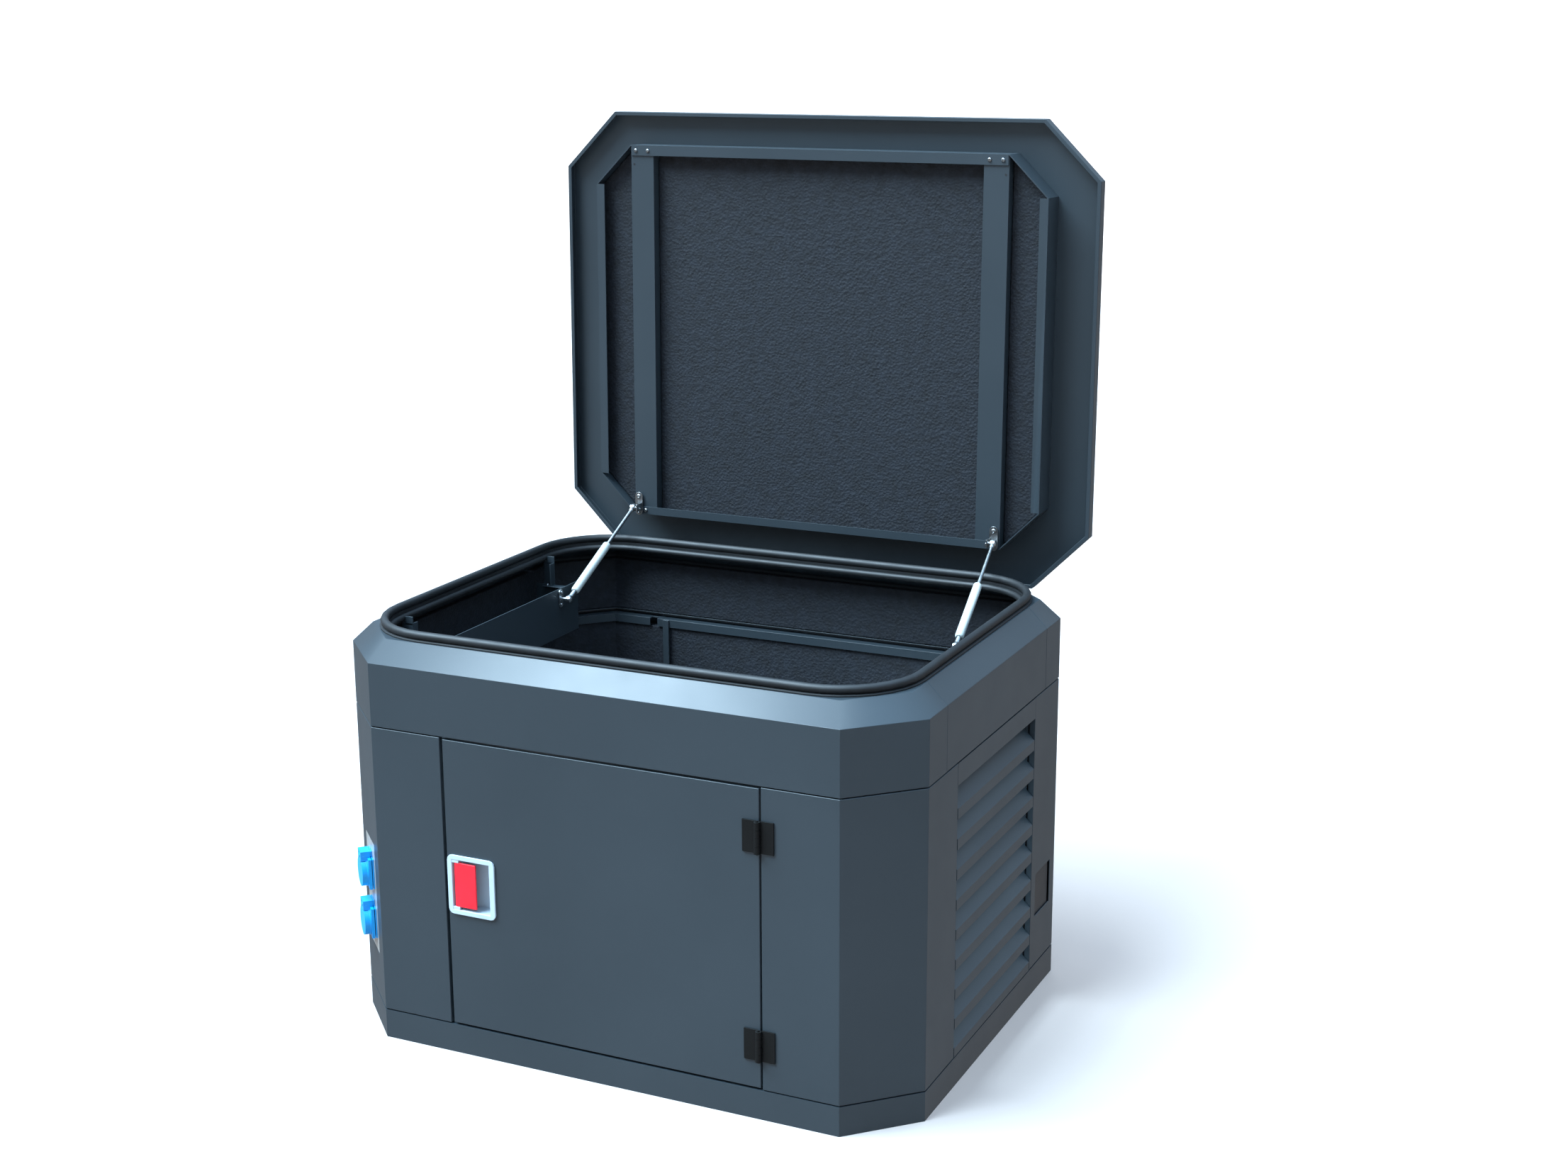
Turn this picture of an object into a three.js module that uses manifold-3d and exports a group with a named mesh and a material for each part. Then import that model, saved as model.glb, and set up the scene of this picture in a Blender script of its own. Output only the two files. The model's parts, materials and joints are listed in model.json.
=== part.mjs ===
// Home standby generator in a weatherproof sheet-steel enclosure with a top-opening lid.
// Millimetres, +Z up. X runs along the front from left to right, Y from the front to the back.
// The origin is the centre of the base's underside, on the floor.
import * as THREE from "three";
import { mergeVertices } from "three/addons/utils/BufferGeometryUtils.js";
import Module from "manifold-3d";

const wasm = await Module();
wasm.setup();

// Driving dimensions of the enclosure
const WIDTH = 1000;
const DEPTH = 792;
const CORNER = 98;          // leg of the 45 degree corner chamfer, seen from above
const SHEET = 2;
const PLINTH_TOP = 48;
const PANEL_BOTTOM = 50;
const PANEL_TOP = 530;
const COLLAR_BOTTOM = 532;
const BEVEL_BOTTOM = 635;
const BEVEL = 32.5;         // height and inset of the 45 degree bevel round the top
const RETURN = 10;          // depth of the folded edge of a wall panel
const CLEAR = 0.3;          // gap left between two pieces that touch
const HALF_X = WIDTH / 2;
const HALF_Y = DEPTH / 2;
const RIM_TOP = BEVEL_BOTTOM + BEVEL;

// Front door and its neighbours
const DOOR_LEFT = -270;
const DOOR_RIGHT = 274;
const DOOR_BOTTOM = 52;
const DOOR_TOP = 528;
const LEFT_JAMB = -275.6;
const RIGHT_JAMB = 277;
const REAR_JAMB = 300;
const DOOR_FOLD = 18;

// Side louvres
const LOUVRE_HALF = 178.6;
const BLADES = 9;
const BLADE_PITCH = 49.1;
const TOP_LIP = 457.6;      // top edge of the highest blade's lip
const LIP = 17;
const BLADE_DEPTH = 34;
const LOUVRE_HEAD = 495;

// Collar seams, rail and baffles inside
const SEAM_Y = 227;
const FOAM = 13.6;
const RAIL_TOP = 526;
const RAIL_INNER = 28;
const BAFFLE_X = 386;

// Lid, given closed; it is turned about its hinge to stand open
const LID_HINGE = { y: 402.5, z: 646.8 };
const LID_OPEN = 91;
const LID_HALF_X = 505;
const LID_BACK = 403.5;
const LID_FRONT = -393.5;
const LID_CORNER = 99;
const LID_TOP = 688.2;
const SKIRT = 21.2;
const LID_FRAME_BOTTOM = 633.5;
const LID_FRAME_X = 426;
const LID_FRAME_BACK = 332.5;
const LID_FRAME_FRONT = -336.5;
const LID_FRAME_CORNER = 69.4;
const RIB_INNER = 311;
const RIB_OUTER = 356;
const LID_FOAM_FACE = 653;

// Gas struts: both ends at rest, left side (the right side mirrors it)
const STRUT_TOP = new THREE.Vector3(-351, 0, 0);
const LID_BALL = { y: 318.7, z: 616.7 };   // closed lid
const STRUT_FOOT = new THREE.Vector3(-366, 160, 606.5);
const STRUT_BODY = 126;
const STRUT_NECK = 21;

// Seal round the opening
const SEAL_X = 457;
const SEAL_Y = 354;
const SEAL_R = 126;
const SEAL_TOP = 684;

// Door hinges, latch and lid hinges
const DOOR_HINGE = { x: 273, y: -401.5 };
const HINGE_Z = [97.5, 429];
const HINGE_H = 50;
const LATCH = { x0: -268.5, x1: -182.5, z0: 241.5, z1: 340.5 };
const LATCH_CUP = { x0: -260, x1: -192, z0: 249, z1: 333 };
const PADDLE_PIVOT = { x: -252, y: -391 };
const LID_HINGE_X = [-300, 300];
const LID_HINGE_W = 60;

// Outlets on the front left chamfer: distance along it from the front corner
const OUTLET_U = 74.5;
const CUTOUT = { half: 38.5, z0: 130, z1: 319 };
const OUTLETS = { upper: 263.7, lower: 178.3 };   // heights of their middles
const OUTLET_SIZE = 51;
const HINGE_BLOCK = { half: 13, out: 18.5, low: 20, high: 35.7, pinOut: 14.7, pinUp: 27 };

const COLOURS = {
  paint: { color: 0x525c68, roughness: 0.55, metalness: 0.1 },
  foam: { color: 0x16181b, roughness: 0.9, metalness: 0 },
  rubber: { color: 0x1d1e20, roughness: 0.7, metalness: 0 },
  zinc: { color: 0xc4c8ca, roughness: 0.35, metalness: 0.9 },
  strut: { color: 0xdfe6e4, roughness: 0.35, metalness: 0.2 },
  black: { color: 0x1a1b1c, roughness: 0.5, metalness: 0.1 },
  grey: { color: 0xb9c4cc, roughness: 0.45, metalness: 0 },
  red: { color: 0xe0263c, roughness: 0.4, metalness: 0 },
  blue: { color: 0x1286dd, roughness: 0.4, metalness: 0 },
  plate: { color: 0xcfd2ce, roughness: 0.4, metalness: 0.6 },
  cast: { color: 0x8f9396, roughness: 0.55, metalness: 0.8 },
};

// Solids

function solidOf(geometry) {
  const plain = geometry.index ? geometry.toNonIndexed() : geometry.clone();
  plain.deleteAttribute("normal");
  plain.deleteAttribute("uv");
  const merged = mergeVertices(plain, 1e-4);
  return new wasm.Manifold(new wasm.Mesh({
    numProp: 3,
    vertProperties: new Float32Array(merged.attributes.position.array),
    triVerts: new Uint32Array(merged.index.array),
  }));
}

function geometryOf(solid) {
  const mesh = solid.getMesh();
  const geometry = new THREE.BufferGeometry();
  geometry.setAttribute("position", new THREE.BufferAttribute(new Float32Array(mesh.vertProperties), 3));
  geometry.setIndex(new THREE.BufferAttribute(new Uint32Array(mesh.triVerts), 1));
  return geometry;
}

const join = (first, ...rest) => rest.reduce((sum, solid) => sum.add(solid), first);
const cut = (first, ...rest) => rest.reduce((left, solid) => left.subtract(solid), first);

function box(x0, x1, y0, y1, z0, z1) {
  const geometry = new THREE.BoxGeometry(x1 - x0, y1 - y0, z1 - z0);
  geometry.translate((x0 + x1) / 2, (y0 + y1) / 2, (z0 + z1) / 2);
  return solidOf(geometry);
}

// A box whose x values are mirrored when side is -1
function sideBox(side, x0, x1, y0, y1, z0, z1) {
  return side > 0 ? box(x0, x1, y0, y1, z0, z1) : box(-x1, -x0, y0, y1, z0, z1);
}

function shapeOf(points, hole) {
  const shape = new THREE.Shape(points.map(([x, y]) => new THREE.Vector2(x, y)));
  if (hole) shape.holes.push(new THREE.Path(hole.map(([x, y]) => new THREE.Vector2(x, y))));
  return shape;
}

// An outline in X and Y, raised from z0 to z1
function prism(points, z0, z1, hole) {
  const geometry = new THREE.ExtrudeGeometry(shapeOf(points, hole), { depth: z1 - z0, bevelEnabled: false });
  geometry.translate(0, 0, z0);
  return solidOf(geometry);
}

// An outline in X and Z, run from y0 to y1
function prismAlongY(points, y0, y1) {
  const geometry = new THREE.ExtrudeGeometry(shapeOf(points), { depth: y1 - y0, bevelEnabled: false });
  geometry.rotateX(Math.PI / 2);
  geometry.translate(0, y1, 0);
  return solidOf(geometry);
}

// A round bar between two points
function bar(radius, from, to, sides = 12) {
  const start = new THREE.Vector3(...from);
  const run = new THREE.Vector3(...to).sub(start);
  const geometry = new THREE.CylinderGeometry(radius, radius, run.length(), sides);
  geometry.translate(0, run.length() / 2, 0);
  geometry.applyQuaternion(new THREE.Quaternion().setFromUnitVectors(new THREE.Vector3(0, 1, 0), run.normalize()));
  geometry.translate(start.x, start.y, start.z);
  return solidOf(geometry);
}

// A profile of [radius, distance along X] turned about the line through y, z
function turnedAlongX(profile, y, z, sides = 24) {
  const geometry = new THREE.LatheGeometry(profile.map(([r, x]) => new THREE.Vector2(r, x)), sides);
  geometry.rotateZ(-Math.PI / 2);
  geometry.translate(0, y, z);
  return solidOf(geometry);
}

function roundedRectangle(halfX, halfY, radius, steps) {
  const points = [];
  const corners = [[1, 1, 0], [-1, 1, 1], [-1, -1, 2], [1, -1, 3]];
  for (const [sx, sy, quarter] of corners) {
    for (let k = 0; k <= steps; k++) {
      const angle = (quarter + k / steps) * Math.PI / 2;
      points.push([
        sx * (halfX - radius) + radius * Math.cos(angle),
        sy * (halfY - radius) + radius * Math.sin(angle),
      ]);
    }
  }
  return points;
}

function octagon(x0, x1, y0, y1, leg) {
  return [
    [x0 + leg, y0], [x1 - leg, y0], [x1, y0 + leg], [x1, y1 - leg],
    [x1 - leg, y1], [x0 + leg, y1], [x0, y1 - leg], [x0, y0 + leg],
  ];
}

// The body's outline moved inwards; its chamfers stay parallel to themselves
function bodyOutline(inset) {
  const leg = CORNER - inset * (2 - Math.SQRT2);
  return octagon(-HALF_X + inset, HALF_X - inset, -HALF_Y + inset, HALF_Y - inset, leg);
}

// A stack of outlines with the same number of corners, each at its own height
function loft(levels) {
  const count = levels[0].points.length;
  const positions = levels.flatMap(({ points, z }) => points.flatMap(([x, y]) => [x, y, z]));
  const index = [];
  for (let level = 0; level < levels.length - 1; level++) {
    for (let k = 0; k < count; k++) {
      const a = level * count + k;
      const b = level * count + (k + 1) % count;
      index.push(a, b, b + count, a, b + count, a + count);
    }
  }
  const top = (levels.length - 1) * count;
  for (let k = 1; k < count - 1; k++) {
    index.push(0, k + 1, k);
    index.push(top, top + k, top + k + 1);
  }
  const geometry = new THREE.BufferGeometry();
  geometry.setAttribute("position", new THREE.Float32BufferAttribute(positions, 3));
  geometry.setIndex(index);
  return solidOf(geometry);
}

// Sheet metal bent along a line of outer corners; the material lies to the right of the line
function strip(points, thickness) {
  const inner = points.map((point, k) => {
    const before = points[Math.max(k - 1, 0)];
    const after = points[Math.min(k + 1, points.length - 1)];
    const normals = [[before, point], [point, after]]
      .filter(([a, b]) => a !== b)
      .map(([a, b]) => new THREE.Vector2(b[1] - a[1], a[0] - b[0]).normalize());
    const first = normals[0];
    const last = normals[normals.length - 1];
    const reach = thickness / (1 + first.dot(last));
    return [point[0] + (first.x + last.x) * reach, point[1] + (first.y + last.y) * reach];
  });
  return [...points, ...inner.reverse()];
}

const group = new THREE.Group();

function add(name, solid, finish, parent = group) {
  const mesh = new THREE.Mesh(geometryOf(solid), new THREE.MeshStandardMaterial(COLOURS[finish]));
  mesh.name = name;
  parent.add(mesh);
}

// Base: an inverted tray with a folded foot and one runner across the middle

function baseTray() {
  const foot = 27;
  const runner = 40;
  const floor = PLINTH_TOP - SHEET;
  return join(
    prism(bodyOutline(0), 0, PLINTH_TOP, bodyOutline(SHEET)),
    prism(bodyOutline(1), floor, PLINTH_TOP),
    prism(bodyOutline(1), 0, SHEET, bodyOutline(foot)),
    box(-HALF_X + 26, HALF_X - 26, -runner, runner, 0, SHEET),
    box(-HALF_X + 26, HALF_X - 26, -runner, -runner + SHEET, 0, floor + 1),
    box(-HALF_X + 26, HALF_X - 26, runner - SHEET, runner, 0, floor + 1),
  );
}

// Wall panels: bent sheet with a folded edge on all sides

function wallPanel(line) {
  const folded = line.slice(1, -1);
  return join(
    prism(strip(line, SHEET), PANEL_BOTTOM, PANEL_TOP),
    prism(strip(folded, RETURN), PANEL_TOP - SHEET, PANEL_TOP),
    prism(strip(folded, RETURN), PANEL_BOTTOM, PANEL_BOTTOM + SHEET),
  );
}

function frontCorner(side, jamb) {
  const line = [
    [jamb, -HALF_Y + RETURN], [jamb, -HALF_Y], [side * (HALF_X - CORNER), -HALF_Y],
    [side * HALF_X, -HALF_Y + CORNER], [side * HALF_X, -LOUVRE_HALF], [side * (HALF_X - RETURN), -LOUVRE_HALF],
  ];
  return wallPanel(side < 0 ? line : line.reverse());
}

function rearCorner(side) {
  const line = [
    [side * (HALF_X - RETURN), LOUVRE_HALF], [side * HALF_X, LOUVRE_HALF], [side * HALF_X, HALF_Y - CORNER],
    [side * (HALF_X - CORNER), HALF_Y], [side * REAR_JAMB, HALF_Y], [side * REAR_JAMB, HALF_Y - RETURN],
  ];
  return wallPanel(side < 0 ? line : line.reverse());
}

const CABLE_WINDOW = { y0: 200, y1: 275, z0: 138.5, z1: 214 };
const EXHAUST = { x: 190, z: 330, radius: 36 };
const GAS_INLET = { x: -230, z: 160, radius: 16 };

function rearPanel() {
  const edge = REAR_JAMB - 2 * CLEAR;
  const line = [[-edge, HALF_Y - RETURN], [-edge, HALF_Y], [edge, HALF_Y], [edge, HALF_Y - RETURN]];
  const hole = ({ x, z, radius }) => bar(radius, [x, HALF_Y - 9, z], [x, HALF_Y + 5, z], 24);
  return cut(wallPanel(line), hole(EXHAUST), hole(GAS_INLET));
}

// Point on the front left chamfer: along it, out from it, and up
function onChamfer(along, out, z) {
  const half = Math.SQRT1_2;
  return [-(HALF_X - CORNER) - (along + out) * half, -HALF_Y + (along - out) * half, z];
}

// A block on the front left chamfer
function chamferBlock(u0, u1, out0, out1, z0, z1) {
  const outline = [[u0, out0], [u0, out1], [u1, out1], [u1, out0]].map(([u, out]) => onChamfer(u, out, 0));
  return prism(outline.map(([x, y]) => [x, y]), z0, z1);
}

function frontLeftPanel() {
  const opening = chamferBlock(
    OUTLET_U - CUTOUT.half, OUTLET_U + CUTOUT.half, -8, 5, CUTOUT.z0, CUTOUT.z1);
  return cut(frontCorner(-1, LEFT_JAMB), opening);
}

function rearRightPanel() {
  const { y0, y1, z0, z1 } = CABLE_WINDOW;
  return cut(rearCorner(1), box(HALF_X - 6, HALF_X + 5, y0, y1, z0, z1));
}

// Louvred side: a head strip, two cheeks and the blades between them

function louvre(side) {
  const edge = LOUVRE_HALF - CLEAR;
  const slit = 2;
  const outer = HALF_X;
  const inner = HALF_X - BLADE_DEPTH;
  const cheekFace = outer - 12;
  const parts = [
    sideBox(side, outer - SHEET, outer, -edge, edge, LOUVRE_HEAD, PANEL_TOP),
    sideBox(side, inner, outer, -edge, edge, LOUVRE_HEAD, LOUVRE_HEAD + SHEET),
    sideBox(side, outer - RETURN, outer, -edge, edge, PANEL_TOP - SHEET, PANEL_TOP),
    sideBox(side, inner, cheekFace, -edge, -edge + SHEET, PANEL_BOTTOM, LOUVRE_HEAD + SHEET),
    sideBox(side, inner, cheekFace, edge - SHEET, edge, PANEL_BOTTOM, LOUVRE_HEAD + SHEET),
  ];
  for (let k = 0; k < BLADES; k++) {
    const lipTop = TOP_LIP - k * BLADE_PITCH;
    const lipBottom = k < BLADES - 1 ? lipTop - LIP : PANEL_BOTTOM;
    const rise = BLADE_DEPTH;
    const profile = [
      [outer, lipBottom], [outer, lipTop], [inner, lipTop + rise], [inner, lipTop + rise - SHEET * Math.SQRT2],
      [outer - SHEET, lipTop + SHEET - SHEET * Math.SQRT2], [outer - SHEET, lipBottom],
    ];
    const points = profile.map(([x, z]) => [side * x, z]);
    parts.push(prismAlongY(side > 0 ? points : points.reverse(), -edge + slit, edge - slit));
  }
  parts.push(sideBox(side, inner, cheekFace, -edge, edge, PANEL_BOTTOM, PANEL_BOTTOM + SHEET));
  parts.push(sideBox(side, cheekFace - 1, outer - SHEET / 2, -edge + slit, edge - slit,
    PANEL_BOTTOM, PANEL_BOTTOM + SHEET));
  return join(...parts);
}

// Collar: the bevelled top of the walls, in four pieces

function collarRing() {
  const bend = SHEET * Math.tan(Math.PI / 8);
  const topInset = SHEET + BEVEL - SHEET + bend;
  const outside = loft([
    { points: bodyOutline(0), z: COLLAR_BOTTOM },
    { points: bodyOutline(0), z: BEVEL_BOTTOM },
    { points: bodyOutline(BEVEL), z: RIM_TOP },
  ]);
  const inside = loft([
    { points: bodyOutline(SHEET), z: COLLAR_BOTTOM - 1 },
    { points: bodyOutline(SHEET), z: BEVEL_BOTTOM - bend },
    { points: bodyOutline(topInset), z: RIM_TOP - SHEET },
  ]);
  const opening = prism(roundedRectangle(SEAL_X - 3, SEAL_Y - 3, SEAL_R - 3, 8), RIM_TOP - 5, RIM_TOP + 5);
  const foot = prism(bodyOutline(1), COLLAR_BOTTOM, COLLAR_BOTTOM + SHEET, bodyOutline(15));
  return join(cut(outside, inside, opening), foot);
}

function collarPieces() {
  const ring = collarRing();
  const reach = 600;
  const seam = SEAM_Y - CLEAR;
  const bottom = COLLAR_BOTTOM - 5;
  const top = RIM_TOP + 5;
  return {
    collar_front: ring.intersect(box(-reach, reach, -reach, -SEAM_Y - CLEAR, bottom, top)),
    collar_rear: ring.intersect(box(-reach, reach, SEAM_Y + CLEAR, reach, bottom, top)),
    collar_left: ring.intersect(box(-reach, 0, -seam, seam, bottom, top)),
    collar_right: ring.intersect(box(0, reach, -seam, seam, bottom, top)),
  };
}

// Inside: an angle rail on posts, air baffles, sound foam

function innerFrame() {
  const outerInset = RETURN + 0.4;
  const rail = join(
    prism(bodyOutline(outerInset), RAIL_TOP - SHEET, RAIL_TOP, bodyOutline(RAIL_INNER)),
    prism(bodyOutline(RAIL_INNER - SHEET), RAIL_TOP - 15, RAIL_TOP, bodyOutline(RAIL_INNER)),
  );
  const face = HALF_Y - RAIL_INNER;
  const notch = box(-317, -302, face - 2, face + 10, RAIL_TOP - 21, RAIL_TOP + 1);
  const posts = [];
  for (const x of [-283, 283]) {
    posts.push(box(x - 6, x + 6, face - 3, face + 1, PLINTH_TOP + CLEAR, RAIL_TOP - 1));
    posts.push(box(x - 6 + Math.sign(x) * 20, x + 6 + Math.sign(x) * 20, -face - 1, -face + 3,
      PLINTH_TOP + CLEAR, RAIL_TOP - 1));
  }
  const doorway = box(DOOR_LEFT - 3, DOOR_RIGHT + 3, -HALF_Y, -HALF_Y + DOOR_FOLD + 1.5,
    RAIL_TOP - 20, RAIL_TOP + 5);
  return join(cut(rail, notch, doorway), ...posts);
}

function baffle(side) {
  const front = -228;
  const back = 222;
  const bottom = 536;
  const top = 624;
  const ledge = 612;
  const postTop = 653;
  const parts = [sideBox(side, BAFFLE_X - SHEET, BAFFLE_X, front, back, bottom, top)];
  for (const [y, flangeFrom] of [[front, front], [back - SHEET, back - 15]]) {
    parts.push(sideBox(side, BAFFLE_X - 1, 470, y, y + SHEET, bottom, ledge));
    parts.push(sideBox(side, BAFFLE_X - 1, 450, flangeFrom, flangeFrom + 15, ledge - SHEET, ledge));
    parts.push(sideBox(side, 431, 453, y, y + SHEET, bottom, postTop));
    parts.push(sideBox(side, 431, 433, flangeFrom, flangeFrom + 15, ledge - 1, postTop));
  }
  return join(...parts);
}

function collarFoam() {
  return prism(bodyOutline(SHEET + 0.4), COLLAR_BOTTOM + SHEET + 0.4, BEVEL_BOTTOM - 5,
    bodyOutline(SHEET + 0.4 + FOAM));
}

function rearFoam() {
  const inset = RETURN + 0.4;
  const side = HALF_X - inset;
  const back = HALF_Y - inset;
  const leg = CORNER - inset * (2 - Math.SQRT2);
  const line = [
    [-side, LOUVRE_HALF + 4], [-side, back - leg], [-side + leg, back],
    [side - leg, back], [side, back - leg], [side, LOUVRE_HALF + 4],
  ];
  const hole = ({ x, z, radius }) => bar(radius, [x, HALF_Y - 60, z], [x, HALF_Y, z], 24);
  return cut(prism(strip(line, FOAM), PLINTH_TOP + 4, RAIL_TOP - 16), hole(EXHAUST), hole(GAS_INLET));
}

// Seal: a round bulb on the rim and a second one hanging inside the opening

function sealRing() {
  const ringAt = (out, inner, z0, z1) => prism(
    roundedRectangle(SEAL_X + out, SEAL_Y + out, SEAL_R + out, 8), z0, z1,
    roundedRectangle(SEAL_X + inner, SEAL_Y + inner, SEAL_R + inner, 8));
  return join(
    ringAt(8, -8, RIM_TOP + CLEAR, RIM_TOP + 5),
    ringAt(6, -6, RIM_TOP + 4, SEAL_TOP),
    ringAt(-3.4, -10.5, RIM_TOP - 12, RIM_TOP + 3),
  );
}

// Outlets: a shared plate behind the chamfer, two socket bodies and their spring lids

function outletPlate() {
  const half = CUTOUT.half + 12;
  const inner = CUTOUT.half - 0.4;
  const plate = join(
    chamferBlock(OUTLET_U - half, OUTLET_U + half, -4.5, -2.4, CUTOUT.z0 - 14, CUTOUT.z1 + 14),
    chamferBlock(OUTLET_U - inner, OUTLET_U + inner, -3, -0.5, CUTOUT.z0 + 0.4, CUTOUT.z1 - 0.4),
  );
  const holes = Object.values(OUTLETS).map((z) => bar(20.5, onChamfer(OUTLET_U, -8, z - 2),
    onChamfer(OUTLET_U, 0, z - 2), 24));
  return cut(plate, ...holes);
}

function outletBody(middle) {
  const half = OUTLET_SIZE / 2;
  const u = OUTLET_U;
  const { half: wide, out, low, high, pinOut, pinUp } = HINGE_BLOCK;
  const pinZ = middle + pinUp;
  const axis = middle - 2;
  const body = join(
    chamferBlock(u - half, u + half, -0.2, 1.8, middle - half, middle + half),
    chamferBlock(u - wide, u + wide, -0.2, 1.8, middle, middle + high),
    chamferBlock(u - wide + 1, u + wide - 1, 1, 4, middle + low + 7, middle + high - 1),
    chamferBlock(u - wide, u + wide, 3, out, middle + low, middle + high),
    bar(20, onChamfer(u, -24, axis), onChamfer(u, 0, axis), 24),
  );
  const well = bar(18.4, onChamfer(u, -20, axis), onChamfer(u, 5, axis), 24);
  const slot = chamferBlock(u - 5.6, u + 5.6, pinOut - 5.4, out + 5, middle + low - 5, pinZ + 5.3);
  const pin = bar(2, onChamfer(u - wide - 0.4, pinOut, pinZ), onChamfer(u + wide + 0.4, pinOut, pinZ), 10);
  return join(cut(body, well, slot), pin);
}

function outletLid(middle) {
  const half = OUTLET_SIZE / 2;
  const u = OUTLET_U;
  const { half: wide, low, high, pinOut, pinUp } = HINGE_BLOCK;
  const pinZ = middle + pinUp;
  const cover = join(
    chamferBlock(u - half, u + half, 3.2, 8, middle - half, middle + half),
    bar(24.5, onChamfer(u, 7, middle - 1), onChamfer(u, 18.4, middle - 1), 24),
  );
  const room = chamferBlock(u - wide - 0.6, u + wide + 0.6, 2, 30, middle + low - 1.6, middle + high + 5);
  const arm = chamferBlock(u - 5, u + 5, pinOut - 4.3, pinOut + 3.6, middle + 14, pinZ);
  const knuckle = bar(4.5, onChamfer(u - 5, pinOut, pinZ), onChamfer(u + 5, pinOut, pinZ), 16);
  const bore = bar(2.5, onChamfer(u - 24, pinOut, pinZ), onChamfer(u + 24, pinOut, pinZ), 10);
  return cut(join(cut(cover, room), arm, knuckle), bore);
}

// Door, its foam and the paddle latch

function doorPanel() {
  const back = -HALF_Y + DOOR_FOLD;
  const skin = box(DOOR_LEFT, DOOR_RIGHT, -HALF_Y, back, DOOR_BOTTOM, DOOR_TOP);
  const hollow = box(DOOR_LEFT + SHEET, DOOR_RIGHT - SHEET, -HALF_Y + SHEET, back + 1,
    DOOR_BOTTOM + SHEET, DOOR_TOP - SHEET);
  const opening = box(LATCH_CUP.x0 - 2.5, LATCH_CUP.x1 + 2.5, -HALF_Y - 1, -HALF_Y + 5,
    LATCH_CUP.z0 - 2.5, LATCH_CUP.z1 + 2.5);
  return cut(skin, hollow, opening);
}

function doorFoam() {
  const slab = box(DOOR_LEFT + 12, DOOR_RIGHT - 12, -HALF_Y + SHEET + CLEAR, -HALF_Y + SHEET + FOAM,
    DOOR_BOTTOM + 12, DOOR_TOP - 12);
  return cut(slab, box(DOOR_LEFT, LATCH.x1 + 4, -HALF_Y, -HALF_Y + 40, LATCH.z0 - 4, LATCH.z1 + 4));
}

function latchFrame() {
  const front = -HALF_Y - 3.5;
  const back = -HALF_Y + 25;
  const { x0, x1, z0, z1 } = LATCH_CUP;
  const midX = (LATCH.x0 + LATCH.x1) / 2;
  const midZ = (LATCH.z0 + LATCH.z1) / 2;
  const outline = roundedRectangle((LATCH.x1 - LATCH.x0) / 2, (LATCH.z1 - LATCH.z0) / 2, 9, 3);
  const bezel = prismAlongY(outline.map(([x, z]) => [x + midX, z + midZ]), front, -HALF_Y - CLEAR);
  const cup = box(x0 - SHEET, x1 + SHEET, -HALF_Y - 1, back, z0 - SHEET, z1 + SHEET);
  return cut(join(bezel, cup), box(x0, x1, front - 1, back - SHEET, z0, z1));
}

function latchPaddle() {
  const { x, y } = PADDLE_PIVOT;
  const z0 = LATCH_CUP.z0 + 5;
  const z1 = LATCH_CUP.z1 - 5;
  return join(
    box(x - 4, -217.5, -HALF_Y - 2.6, -HALF_Y + 1, z0, z1),
    box(x - 4, x + 4, -HALF_Y, y, z0, z1),
    bar(4, [x, y, z0 + 2], [x, y, z1 - 2]),
  );
}

function latchBolt() {
  const middle = (LATCH.z0 + LATCH.z1) / 2;
  const front = -HALF_Y + 25.5;
  return join(
    box(DOOR_LEFT - 2.8, -214, front, front + 5, middle - 8, middle + 8),
    box(-224, -214, front + 4, front + 10, middle - 10, middle + 10),
  );
}

// Butt hinges of the door: two leaves with interlocking knuckles, the pin fixed in the frame's leaf

function doorHingeLeaf(bottom, onDoor) {
  const { x, y } = DOOR_HINGE;
  const knuckle = HINGE_H / 4;
  const edge = onDoor ? [x - 25.5, x - 3] : [x + 4, x + 25.5];
  const parts = [box(edge[0], edge[1], -HALF_Y - 2.8, -HALF_Y - CLEAR, bottom, bottom + HINGE_H)];
  const rooms = [];
  for (let k = 0; k < 4; k++) {
    const z0 = bottom + k * knuckle;
    if ((k % 2 === 1) === onDoor) {
      parts.push(bar(5, [x, y, z0 + 0.2], [x, y, z0 + knuckle - 0.2]));
      const web = onDoor ? [x - 6, x] : [x, x + 6];
      parts.push(box(web[0], web[1], -HALF_Y - 2.8, -HALF_Y - CLEAR, z0 + 0.2, z0 + knuckle - 0.2));
    } else {
      rooms.push(bar(5.8, [x, y, z0 - 0.2], [x, y, z0 + knuckle + 0.2]));
    }
  }
  const pinTop = bottom + HINGE_H + 1.5;
  if (onDoor) rooms.push(bar(2.4, [x, y, bottom - 5], [x, y, pinTop + 5], 10));
  const leaf = cut(join(...parts), ...rooms);
  return onDoor ? leaf : join(leaf, bar(1.9, [x, y, bottom - 1.5], [x, y, pinTop], 10));
}

// Lid hinges on the back

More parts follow.
